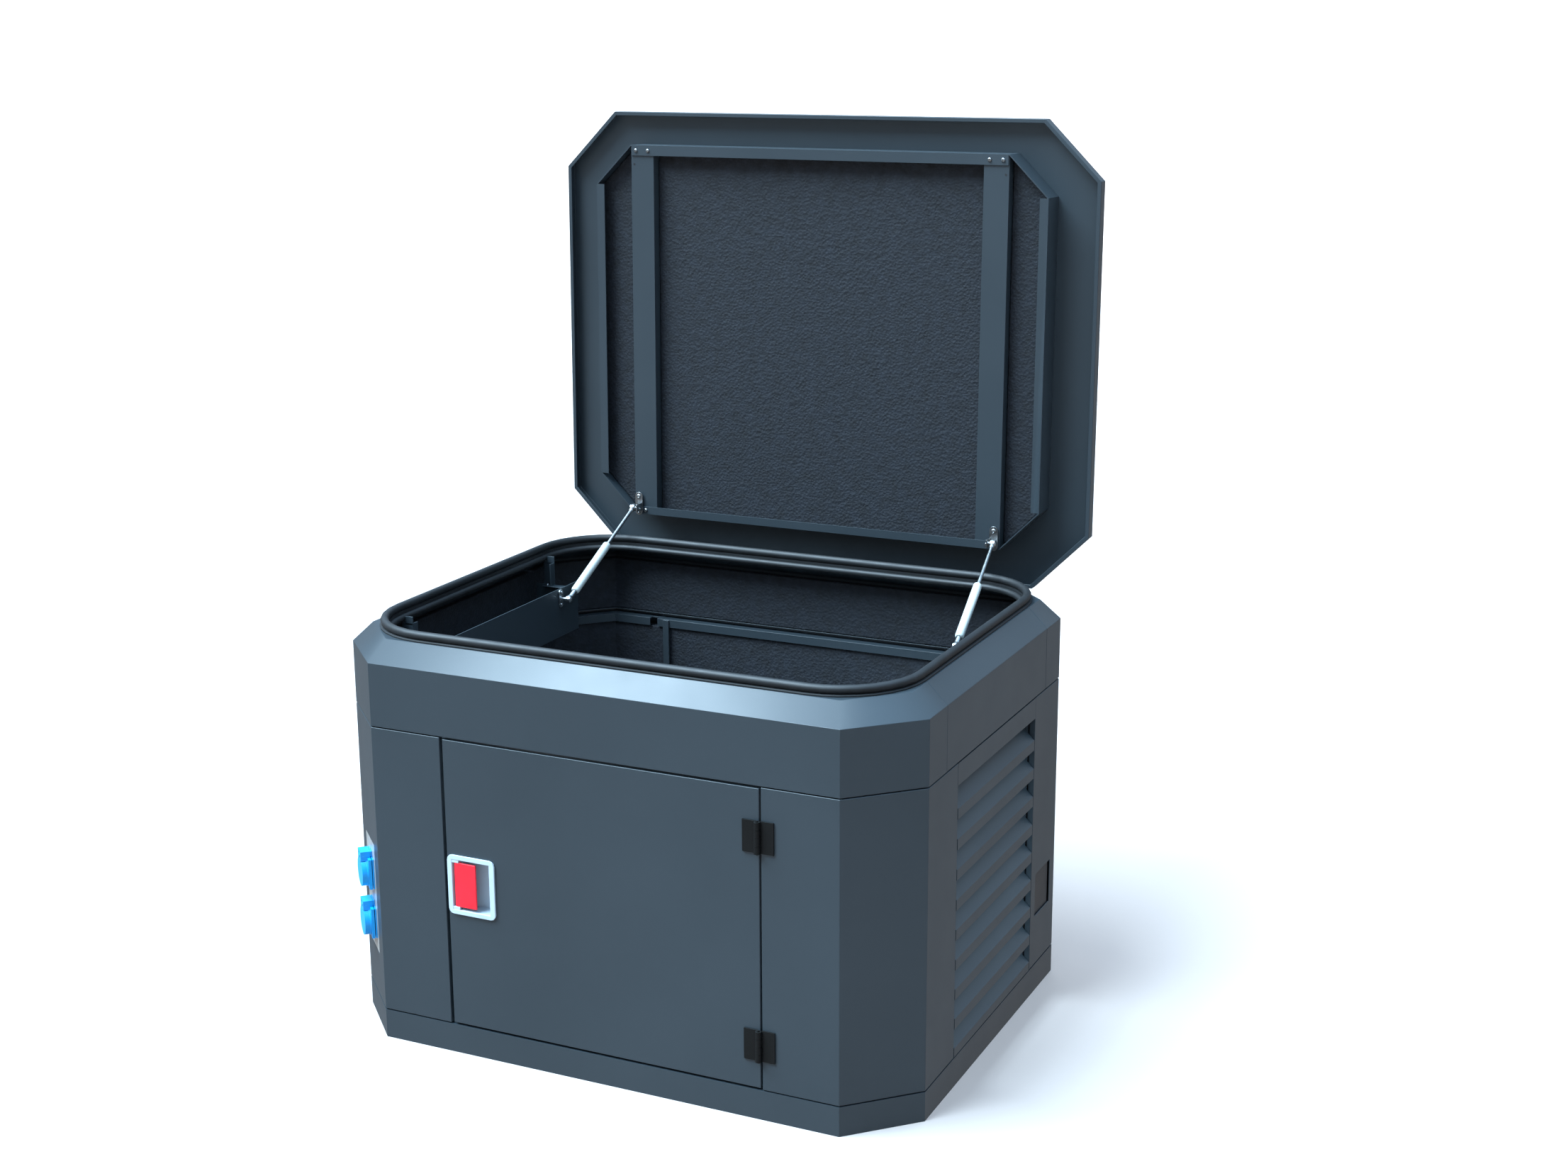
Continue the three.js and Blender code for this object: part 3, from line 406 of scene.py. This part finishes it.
class Build:
    """Collects several closed shapes, in millimetres, into one mesh."""

    def __init__(self):
        self.verts = []
        self.faces = []

    def add(self, verts, faces):
        start = len(self.verts)
        self.verts += [tuple(v) for v in verts]
        self.faces += [tuple(i + start for i in f) for f in faces]
        return self

    def tube(self, rings, closed=False):
        """Joins rings of points with quads, and caps the two ends unless the rings close on themselves."""
        n = len(rings[0])
        count = len(rings)
        faces = []
        for k in range(count if closed else count - 1):
            low = k * n
            high = (k + 1) % count * n
            faces += [(low + i, low + (i + 1) % n, high + (i + 1) % n, high + i) for i in range(n)]
        if not closed:
            faces += [tuple(range(n - 1, -1, -1)), tuple(range((count - 1) * n, count * n))]
        return self.add([p for ring in rings for p in ring], faces)

    def lathe(self, profile, start, along, sides=24):
        """Turns (distance, radius) pairs about a line."""
        axis = Vector(along).normalized()
        side = axis.orthogonal().normalized()
        other = axis.cross(side)
        rings = []
        for distance, radius in profile:
            middle = Vector(start) + axis * distance
            angles = [2 * math.pi * k / sides for k in range(sides)]
            rings.append([middle + (side * math.cos(a) + other * math.sin(a)) * radius for a in angles])
        return self.tube(rings)

    def block(self, lo, hi):
        corners = ((lo[0], lo[1]), (hi[0], lo[1]), (hi[0], hi[1]), (lo[0], hi[1]))
        return self.tube([[(x, y, z) for x, y in corners] for z in (lo[2], hi[2])])

    def mesh(self, name, move=None, width=0.0, angle=30.0):
        """The finished mesh, with the edges sharper than the angle rounded to the width or kept sharp."""
        mesh = mesh_of(name, self.verts, self.faces)
        bm = bmesh.new()
        bm.from_mesh(mesh)
        bmesh.ops.recalc_face_normals(bm, faces=bm.faces)
        bm.to_mesh(mesh)
        bm.free()
        if width:
            mesh = soften(mesh, width * MM, angle=angle)
        else:
            mesh.set_sharp_from_angle(angle=math.radians(angle))
        if move is not None:
            mesh.transform(move)
        return mesh


# Where things are, in millimetres. The lid's places are given with it closed.
SIDES = (-1, 1)
ALONG_X = (1, 0, 0)
AGAINST_X = (-1, 0, 0)
FORWARD = (0, -1, 0)
BACKWARD = (0, 1, 0)
UP = (0, 0, 1)
DOWN = (0, 0, -1)
HINGE_Y, HINGE_Z = 402.5, 646.8
LID_OPEN = math.radians(91)
LID_FRAME_BOTTOM = 633.5
LID_BALL = (318.7, 616.7)
RIB_MIDDLE = 333.5
RIM_TOP = 667.5
SEAL_X, SEAL_Y, SEAL_R = 457, 354, 126
SEAL_TOP = 684.0
BULB = 6.7
HANGING_BULB = 5.4
STRUT_TOP_X = 351
STRUT_FOOT = (366, 160, 606.5)
STRUT_BODY = 126
STRUT_NECK = 21
ROD_RADIUS = 3.1
BARREL_RADIUS = 7.5
BARREL_GROOVE = 7.1
NECK_RADIUS = 4.6
SOCKET_HALF_WIDTH = 4.6
BAFFLE_FACE = 384
BAFFLE_LEDGE = 612
POST_NEAR, POST_FAR = 431, 446
POST_Y = (-228, 220)
SHEET = 2
RAIL_FACE = 526

hinge = Matrix.Translation(Vector((0, HINGE_Y, HINGE_Z)) * MM)
OPENED = hinge @ Matrix.Rotation(-LID_OPEN, 4, "X") @ hinge.inverted()


def opened(point):
    """Where a point of the closed lid is with the lid open."""
    return OPENED @ (Vector(point) * MM) / MM


def side_name(side):
    return "left" if side < 0 else "right"


# ---------------------------------------------------------------------- seal and gas struts


def seal_path(steps=8):
    """Stations round the seal: a point and the direction pointing out of the opening."""
    corners = [(SEAL_X, SEAL_Y), (-SEAL_X, SEAL_Y), (-SEAL_X, -SEAL_Y), (SEAL_X, -SEAL_Y)]
    stations = []
    for quarter, (x, y) in enumerate(corners):
        cx = x - math.copysign(SEAL_R, x)
        cy = y - math.copysign(SEAL_R, y)
        for k in range(steps + 1):
            a = math.pi / 2 * (quarter + k / steps)
            c, s = math.cos(a), math.sin(a)
            stations.append((cx + SEAL_R * c, cy + SEAL_R * s, c, s))
    return stations


def circle(out, z, radius, sides=16):
    """Outline of a round bulb, as distances out of the opening and heights."""
    angles = [2 * math.pi * k / sides for k in range(sides)]
    return [(out + radius * math.cos(a), z + radius * math.sin(a)) for a in angles]


def seal():
    """A round bulb on the rim with a strip and a web under it, and a second bulb hanging inside."""
    strip = [(8.2, 0.4), (8.2, 2.2), (6.2, 3.2), (-5.0, 3.2), (-5.0, 0.4)]
    hanging_strip = [(-3.6, -11.0), (-3.6, 2.0), (-5.6, 2.0), (-5.6, -11.0)]
    web = [(3.0, 3.0), (3.0, 7.0), (-3.0, 7.0), (-3.0, 3.0)]
    profiles = [circle(0.3, SEAL_TOP - BULB, BULB), circle(-6.8, RIM_TOP - 6.4, HANGING_BULB)]
    profiles += [[(out, RIM_TOP + up) for out, up in shape] for shape in (strip, hanging_strip, web)]
    build = Build()
    for profile in profiles:
        rings = [[(x + nx * out, y + ny * out, z) for out, z in profile] for x, y, nx, ny in seal_path()]
        build.tube(rings, closed=True)
    place_piece("seal_bulbs", build.mesh("seal", angle=50), "enclosure", "seal_rubber", ["lid_seal"])


def socket_ring(build, place, side, radius):
    """The ring of a ball socket, with its axis across the object."""
    half = SOCKET_HALF_WIDTH
    corner = 0.8
    bore = 3.6
    profile = [(-half, bore), (-half, radius - corner), (corner - half, radius), (half - corner, radius),
               (half, radius - corner), (half, bore)]
    return build.lathe(profile, place, (side, 0, 0))


def strut(side):
    """A rod and a cylinder, each with its ball socket, on the line between the two studs."""
    name = side_name(side)
    ball = opened((side * STRUT_TOP_X, *LID_BALL))
    foot = Vector((side * STRUT_FOOT[0], *STRUT_FOOT[1:]))
    along = (foot - ball).normalized()
    length = (foot - ball).length
    start = length - STRUT_NECK - STRUT_BODY
    end = start + STRUT_BODY

    rod_profile = [(-6.6, 2.0), (-6.2, 4.2), (-4.6, 5.8), (-2.0, 6.6), (2.0, 6.6), (4.2, 5.9), (6.2, 4.3),
                   (10.5, 4.2), (11.0, 3.9), (11.2, ROD_RADIUS), (start + 20, ROD_RADIUS)]
    rod = Build().lathe(rod_profile, ball, along)
    socket_ring(rod, ball, side, 6.6)
    place_piece(name + "_rod_turned", rod.mesh("rod"), name + "_rod", "zinc_plate", [name + "_strut_rod"])

    barrel = [(start, 3.5), (start + 0.3, 5.6), (start + 1.8, 6.9), (start + 3.6, BARREL_RADIUS),
              (start + 7.0, BARREL_RADIUS), (start + 7.8, BARREL_GROOVE), (start + 9.4, BARREL_GROOVE),
              (start + 10.2, BARREL_RADIUS), (end - 3.0, BARREL_RADIUS), (end - 1.2, 6.9), (end, 5.6),
              (end + 0.2, 3.9)]
    tube = Build().lathe(barrel, ball, along, 32)
    place_piece(name + "_cylinder_turned", tube.mesh("tube"), name + "_cylinder", "strut_paint",
                [name + "_strut_cylinder"])

    neck_profile = [(end - 1.0, 4.3), (end + 2.4, 4.3), (end + 2.6, 4.0), (end + 3.6, 4.0),
                    (end + 3.8, NECK_RADIUS), (length - 7.0, NECK_RADIUS), (length - 5.4, 5.6),
                    (length - 3.0, 6.4), (length + 1.0, 6.5), (length + 4.0, 5.6), (length + 5.6, 4.0),
                    (length + 6.2, 2.0)]
    neck = Build().lathe(neck_profile, ball, along)
    socket_ring(neck, foot, side, 6.2)
    place_piece(name + "_cylinder_neck", neck.mesh("neck"), name + "_cylinder", "zinc_plate")


# ---------------------------------------------------------------------- brackets, screws and holes


def slab(build, outline, lo, hi, axis):
    """A flat plate with the outline's points across the axis, between two distances along it."""
    def put(p, d):
        point = [p[0], p[1]]
        point.insert(axis, d)
        return tuple(point)
    return build.tube([[put(p, lo) for p in outline], [put(p, hi) for p in outline]])


def oval(cx, cy, half_long, half_short, steps=8):
    """Outline with round ends, long in the second direction."""
    points = []
    for end in (1, -1):
        middle = cy + end * (half_long - half_short)
        for k in range(steps + 1):
            a = math.pi * k / steps + (0 if end > 0 else math.pi)
            points.append((cx + half_short * math.cos(a), middle + half_short * math.sin(a)))
    return points


def screw(build, place, out, radius=4.2, rise=2.4):
    """A pan-head screw standing on the place, its head pointing out."""
    profile = [(-0.6, radius * 0.98), (0.5, radius), (rise * 0.6, radius * 0.92), (rise, radius * 0.62),
               (rise, radius * 0.36), (rise - 1.1, radius * 0.22)]
    return build.lathe(profile, place, out, 16)


def bracket(side):
    """The oval plate on the lid's rib, with an arm, a stud and two screws."""
    name = side_name(side)
    plate_x = side * 346.5
    arm_x = side * 341
    y, z = LID_BALL
    top = LID_FRAME_BOTTOM - 0.3
    build = Build()
    slab(build, oval(plate_x, y - 5.5, 21.5, 7.5), top - 2.2, top, 2)
    build.block((arm_x - 1, y - 7, z - 6), (arm_x + 1, y + 7, top - 0.5))
    build.lathe([(0, 4.5), (2.0, 4.5), (2.2, 3.0), (15, 3.0), (16, 2.4)], (arm_x, y, z), (side, 0, 0), 20)
    for at in (y - 19, y + 9):
        screw(build, (plate_x, at, top - 2), DOWN, 4.4)
    place_piece(name + "_bracket_plate", build.mesh("bracket", OPENED, 0.35), "lid", "zinc_plate",
                [name + "_lid_bracket"])


def foot_plate(side):
    """The oval plate on the baffle, with a stud and two screws."""
    name = side_name(side)
    y, z = STRUT_FOOT[1:]
    face = BAFFLE_FACE - 0.3
    inward = (-side, 0, 0)
    build = Build()
    slab(build, oval(y, z, 16.5, 7.0), side * face, side * (face - 2.0), 0)
    build.lathe([(0, 6.0), (2.4, 6.0), (3.0, 3.0), (11.5, 3.0)], (side * (face - 1.5), y, z), inward, 20)
    for dz in (-11, 11):
        screw(build, (side * (face - 2), y, z + dz), inward, 3.2)
    place_piece(name + "_foot_plate", build.mesh("foot", None, 0.3), "enclosure", "zinc_plate",
                [name + "_strut_foot"])


def lid_screws():
    """Pan heads along the lid frame's lips, where they hold the ribs."""
    front_lip, rear_lip = -327, 325
    build = Build()
    for side in SIDES:
        for x in (RIB_MIDDLE - 12, RIB_MIDDLE + 12):
            screw(build, (side * x, front_lip, LID_FRAME_BOTTOM), DOWN, 3.6)
        screw(build, (side * RIB_MIDDLE, rear_lip, LID_FRAME_BOTTOM), DOWN, 3.6)
    place_piece("lid_screws", build.mesh("screws", OPENED), "lid", "zinc_plate")


def baffle_screws():
    """Screws through the baffles' ledges, and one through the rear flange under the seal."""
    build = Build()
    for side in SIDES:
        for y in (-212, 214):
            for x in (398, 442):
                screw(build, (side * x, y, BAFFLE_LEDGE), UP, 3.2)
    screw(build, (348, 344.4, 660), FORWARD, 3.6)
    place_piece("baffle_screws", build.mesh("baffle_screws"), "enclosure", "zinc_plate")


def baffle_post_tops():
    """The ends of the baffles' posts, up to the seal."""
    build = Build()
    for side in SIDES:
        low, high = sorted((side * POST_NEAR, side * POST_FAR))
        for y in POST_Y:
            build.block((low, y, 650), (high, y + SHEET, 664))
    place_piece("baffle_post_tops", build.mesh("baffle_post_tops", None, 0.3), "enclosure", "painted_sheet")


def hole_shade_discs():
    """Small punched holes, shown by dark discs a hair off the sheet: painted shade inside the openings."""
    depth = 0.35
    lid_hole = [(0, 1.9), (depth, 1.9)]
    rail_hole = [(0, 2.4), (depth, 2.4)]
    post_hole = [(0, 2.2), (depth, 2.2)]
    lid = Build()
    inner = Build()
    for side in SIDES:
        for y in (-303, 296):
            lid.lathe(lid_hole, (side * 350, y, LID_FRAME_BOTTOM + 2.3), DOWN, 16)
        for x, y in ((479, -150), (479, 150), (430, 330)):
            inner.lathe(rail_hole, (side * x, y, RAIL_FACE), UP, 16)
        inner.lathe(post_hole, (side * 442, 230.2, 640), FORWARD, 16)
    place_piece("lid_hole_shade", lid.mesh("lid_hole_shade", OPENED), "lid", "black_plastic")
    place_piece("rail_hole_shade", inner.mesh("rail_hole_shade"), "enclosure", "black_plastic")


def latch_ledges():
    """Two small steps of the latch's frame beside the paddle's pivot."""
    half = 2.6
    build = Build()
    for z in (251.6, 330.4):
        build.block((-260.4, -398.9, z - half), (-248, -394.5, z + half))
    place_piece("latch_ledges", build.mesh("ledges", None, 0.5), "door", "grey_plastic")


# ---------------------------------------------------------------------- outlets

HALF_ROOT = math.sqrt(0.5)
CHAMFER_CORNER = (-402, -396)
CHAMFER_OUT = Vector((-HALF_ROOT, -HALF_ROOT, 0))
OUTLET_ALONG = 74.5
OUTLETS = {"upper": 263.7, "lower": 178.3}
WELL_RAISED = 2


def chamfer_point(along, out, z):
    """A point given by its distance along the front left chamfer, its height off it, and z."""
    x, y = CHAMFER_CORNER
    return Vector((x - (along + out) * HALF_ROOT, y + (along - out) * HALF_ROOT, z))


def earth_clip(z):
    """Two opposite corners of a clip in the well's wall."""
    middle = chamfer_point(OUTLET_ALONG, -10, z)
    half = Vector((2.4, 2.4, 0.7))
    return middle - half, middle + half


def outlet_details(which, middle):
    """Inside the well, the socket's face with its pin holes and earth clips."""
    centre = middle - WELL_RAISED
    face = Build()
    face.lathe([(0, 18.2), (2.5, 18.2), (3.2, 17.4), (3.2, 3.0), (1.5, 2.0)],
               chamfer_point(OUTLET_ALONG, -19.6, centre), CHAMFER_OUT, 32)
    place_piece(which + "_outlet_face", face.mesh("face"), "enclosure", "blue_plastic")
    metal = Build()
    for turn in SIDES:
        metal.lathe([(0, 2.6), (1.0, 2.6), (1.2, 1.7), (0.2, 1.6)],
                    chamfer_point(OUTLET_ALONG + turn * 9.5, -16.4, centre), CHAMFER_OUT, 16)
        metal.block(*earth_clip(centre + turn * 17.0))
    place_piece(which + "_outlet_contacts", metal.mesh("contacts"), "enclosure", "zinc_plate")


def cover_dome(which, middle):
    """The round dome of an outlet's cover, with its moulded rim."""
    profile = [(8.0, 25.2), (9.5, 25.2), (10.2, 24.4), (12.0, 23.4), (16.2, 22.6), (17.8, 21.4), (18.6, 19.2),
               (18.6, 17.6), (18.2, 17.0), (18.2, 0.4)]
    build = Build()
    build.lathe(profile, chamfer_point(OUTLET_ALONG, 0, middle - 1), CHAMFER_OUT, 48)
    place_piece(which + "_cover_dome", build.mesh("dome"), which + "_cover", "blue_plastic")


# ---------------------------------------------------------------------- generator set

SHAFT_Z = 205
ENGINE_X = 105
HEAD_TOP = 391.5
ENGINE_FRONT = -104.5
ENGINE_END = 222.5
BLOWER_END = 251.0
ALTERNATOR_END = -252.2
MUFFLER_Y, MUFFLER_Z = 235, 330
MUFFLER_RADIUS = 47.6
BATTERY_TOP = 255.8
STRAP_X = (-201, -185)
STRAP_Y = (103.5, 188.5)
CONTROL_FACE = -333.6


def ring(build, x, y, z, inner, outer, thick, sides=40):
    """A flat ring standing across the x axis."""
    section = ((0, inner), (thick, inner), (thick, outer), (0, outer))
    stations = []
    for k in range(sides):
        a = 2 * math.pi * k / sides
        c, s = math.cos(a), math.sin(a)
        stations.append([(x + u, y + r * c, z + r * s) for u, r in section])
    return build.tube(stations, closed=True)


def around(radius, count, start=0.0):
    """Places round the shaft: y, z and the direction pointing away from the shaft."""
    for k in range(count):
        a = start + 2 * math.pi * k / count
        c, s = math.cos(a), math.sin(a)
        yield radius * c, SHAFT_Z + radius * s, Vector((0, c, s))


def bolt_head(build, place, out, across=5.5, rise=4.0):
    """A hexagon head on its washer."""
    build.lathe([(0, across * 1.3), (1.0, across * 1.3)], place, out, 18)
    return build.lathe([(0.8, across), (rise - 0.6, across), (rise, across * 0.85)], place, out, 6)


def engine_bolts():
    """Bolts of the head, the feet, the side cover and the blower's flange."""
    bolts = Build()
    for x in (ENGINE_X - 45, ENGINE_X, ENGINE_X + 45):
        for y in (-48, 48):
            bolt_head(bolts, (x, y, HEAD_TOP), UP)
    for y in (-122, 122):
        for x in (66, 144):
            bolt_head(bolts, (x, y, 100), UP, 6.5)
    for x in (ENGINE_X - 63, ENGINE_X, ENGINE_X + 63):
        for z in (236, 120):
            bolt_head(bolts, (x, ENGINE_FRONT, z), FORWARD, 4.5)
    for y, z, _ in around(104, 8, start=0.4):
        if z > 110:
            bolt_head(bolts, (ENGINE_END, y * 0.99, z), ALONG_X, 4.2)
    place_piece("engine_bolts", bolts.mesh("engine_bolts"), "enclosure", "zinc_plate")


def engine_details():
    """Bolts, the spark plug's cap, the oil filler and the air filter's ribbed cover."""
    engine_bolts()
    plug_cap = [(0, 9), (3, 9), (4, 7), (16, 7), (18, 9), (34, 8), (40, 6)]
    oil_filler = [(0, 13), (8, 14), (22, 14), (26, 11), (30, 11)]
    plug = Build().lathe(plug_cap, (ENGINE_X, -60, 372), (0, -1, 0.4))
    plug.lathe(oil_filler, (68, 0, HEAD_TOP), UP, 20)
    place_piece("plug_and_filler", plug.mesh("plug"), "enclosure", "black_plastic")

    filter_z = 300
    drum = [(0, 40), (4, 46), (30, 48), (52, 48), (60, 44), (64, 30), (65, 6)]
    rib = [(0, 48.4), (1, 49.4), (3, 49.4), (4, 48.4)]
    cover = Build().lathe(drum, (ENGINE_X, 72.5, filter_z), BACKWARD, 40)
    for k in range(5):
        cover.lathe(rib, (ENGINE_X, 84 + 9 * k, filter_z), BACKWARD, 40)
    place_piece("air_filter", cover.mesh("air_filter"), "enclosure", "black_plastic")


def blower_details():
    """The grille of rings and spokes over the blower's inlet."""
    grille = Build()
    for radius in range(16, 88, 9):
        ring(grille, BLOWER_END, 0, SHAFT_Z, radius, radius + 2.6, 3.0)
    hub = Vector((BLOWER_END + 3.5, 0, SHAFT_Z))
    for _, _, out in around(0, 6):
        grille.lathe([(0, 1.6), (76, 1.6)], hub + out * 12, out, 8)
    place_piece("blower_grille", grille.mesh("blower_grille"), "enclosure", "zinc_plate")


def alternator_details():
    """Cooling slots round the barrel and holes in the end bell, drawn as black rods and discs that paint the
    shade inside them; long tie bolts and the end bell's screws.
    """
    slot_shade = Build()
    hub = Vector((ALTERNATOR_END, 0, SHAFT_Z))
    for y, z, out in around(84.3, 18):
        slot_shade.lathe([(0, 2.6), (26, 2.6)], (-232, y, z), ALONG_X, 10)
        slot_shade.lathe([(0, 3.4), (0.3, 3.4)], hub + out * 44, AGAINST_X, 12)
    place_piece("alternator_slot_shade", slot_shade.mesh("alternator_slot_shade"), "enclosure", "black_plastic")

    tie = [(0, 6.5), (6, 6.5), (6.2, 3.2), (162, 3.2), (162.2, 6.5), (168, 6.5)]
    ties = Build()
    for y, z, _ in around(101.5, 4, start=math.pi / 4):
        ties.lathe(tie, (-192, y, z), ALONG_X, 12)
    for y, z, _ in around(60, 6, start=0.3):
        bolt_head(ties, (ALTERNATOR_END + 2, y, z), AGAINST_X, 4.5)
    place_piece("alternator_ties", ties.mesh("alternator_ties"), "enclosure", "zinc_plate")


def muffler_details():
    """Two clamping bands with their bolts, and the seam between them."""
    bands = Build()
    for x in (84, 224):
        ring(bands, x, MUFFLER_Y, MUFFLER_Z, MUFFLER_RADIUS, MUFFLER_RADIUS + 2.6, 16)
        bands.lathe([(0, 4), (20, 4)], (x + 8, MUFFLER_Y - 10, MUFFLER_Z + 53), BACKWARD, 10)
    ring(bands, 153, MUFFLER_Y, MUFFLER_Z, MUFFLER_RADIUS, MUFFLER_RADIUS + 1.8, 4)
    place_piece("muffler_bands", bands.mesh("muffler_bands"), "enclosure", "galvanised_plate")


def battery_details():
    """Six filler caps, a plain plate on one end, and the strap that holds the battery down."""
    caps = Build()
    for k in range(6):
        caps.lathe([(0, 9), (3, 9), (4.2, 7.6), (4.2, 2)], (-245 + 19.5 * k, 168, BATTERY_TOP), UP, 20)
    caps.block((-286.2, 140, 150), (-285.0, 152, 235))
    place_piece("battery_caps", caps.mesh("battery_caps", None, 0.3), "enclosure", "grey_plastic")

    near, far = STRAP_X
    front, back = STRAP_Y
    thick = 2.3
    strap = Build()
    for y in (front, back - thick):
        strap.block((near, y, 90), (far, y + thick, 257))
    strap.block((near, front, 256.4), (far, back, 258.6))
    bolt_head(strap, ((near + far) / 2, (front + back) / 2, 258.4), UP, 5.0)
    place_piece("battery_strap", strap.mesh("battery_strap", None, 0.3), "enclosure", "zinc_plate")


def control_details():
    """A plain display, three breakers, two lamps and four screws on the control box's cover."""
    left = -384
    dark = Build()
    dark.block((left, CONTROL_FACE - 2, 430), (left + 44, CONTROL_FACE, 462))
    for k in range(3):
        x = left + 24 * k
        dark.block((x, -336.5, 366), (x + 18, CONTROL_FACE, 408))
        dark.block((x + 5, -341.5, 380), (x + 13, -336, 392))
    place_piece("control_face", dark.mesh("control_face", None, 0.5), "enclosure", "black_plastic")

    lamps = Build()
    for z in (438, 456):
        lamps.lathe([(0, 5), (2, 5), (4.5, 3.4), (5.2, 1)], (-322, -333.8, z), FORWARD, 18)
    place_piece("control_lamps", lamps.mesh("control_lamps"), "enclosure", "red_plastic")

    corners = Build()
    for x in (-388, -310):
        for z in (343, 467):
            screw(corners, (x, -333.9, z), FORWARD, 2.6, 1.6)
    place_piece("control_screws", corners.mesh("control_screws"), "enclosure", "zinc_plate")


# ---------------------------------------------------------------------- everything in place

# How far each group of pieces has its edges rounded, in metres, and in how many steps
ROUNDING = {
    "foam": (2.6 * MM, 3),
    "louvre": (0.7 * MM, 2),
    "collar": (1.4 * MM, 3),
    "panel": (1.5 * MM, 3),
    "lid_shell": (1.2 * MM, 3),
    "outlet": (0.9 * MM, 3),
    "latch_frame": (1.3 * MM, 3),
    "latch_paddle": (1.0 * MM, 3),
}
OTHER_ROUNDING = (0.7 * MM, 2)
# The hatch plate takes the darker copy of the sheet's paint: painted shade of its recess.
OTHER_FINISH = {"hatch_plate": "painted_plate"}
MADE_BY_HAND = {"lid_seal"} | {
    f"{side}_{part}" for side in ("left", "right")
    for part in ("strut_rod", "strut_cylinder", "lid_bracket", "strut_foot")}


def rounding(node):
    for part, values in ROUNDING.items():
        if part in node:
            return values
    return OTHER_ROUNDING


for node in sorted(set(NODES) - MADE_BY_HAND):
    dress(node, *rounding(node), OTHER_FINISH.get(node))

seal()
for side in SIDES:
    strut(side)
    bracket(side)
    foot_plate(side)
for detail in (lid_screws, engine_details, blower_details, alternator_details, muffler_details,
               battery_details, control_details, baffle_screws, baffle_post_tops, hole_shade_discs, latch_ledges):
    detail()
for which, middle in OUTLETS.items():
    outlet_details(which, middle)
    cover_dome(which, middle)
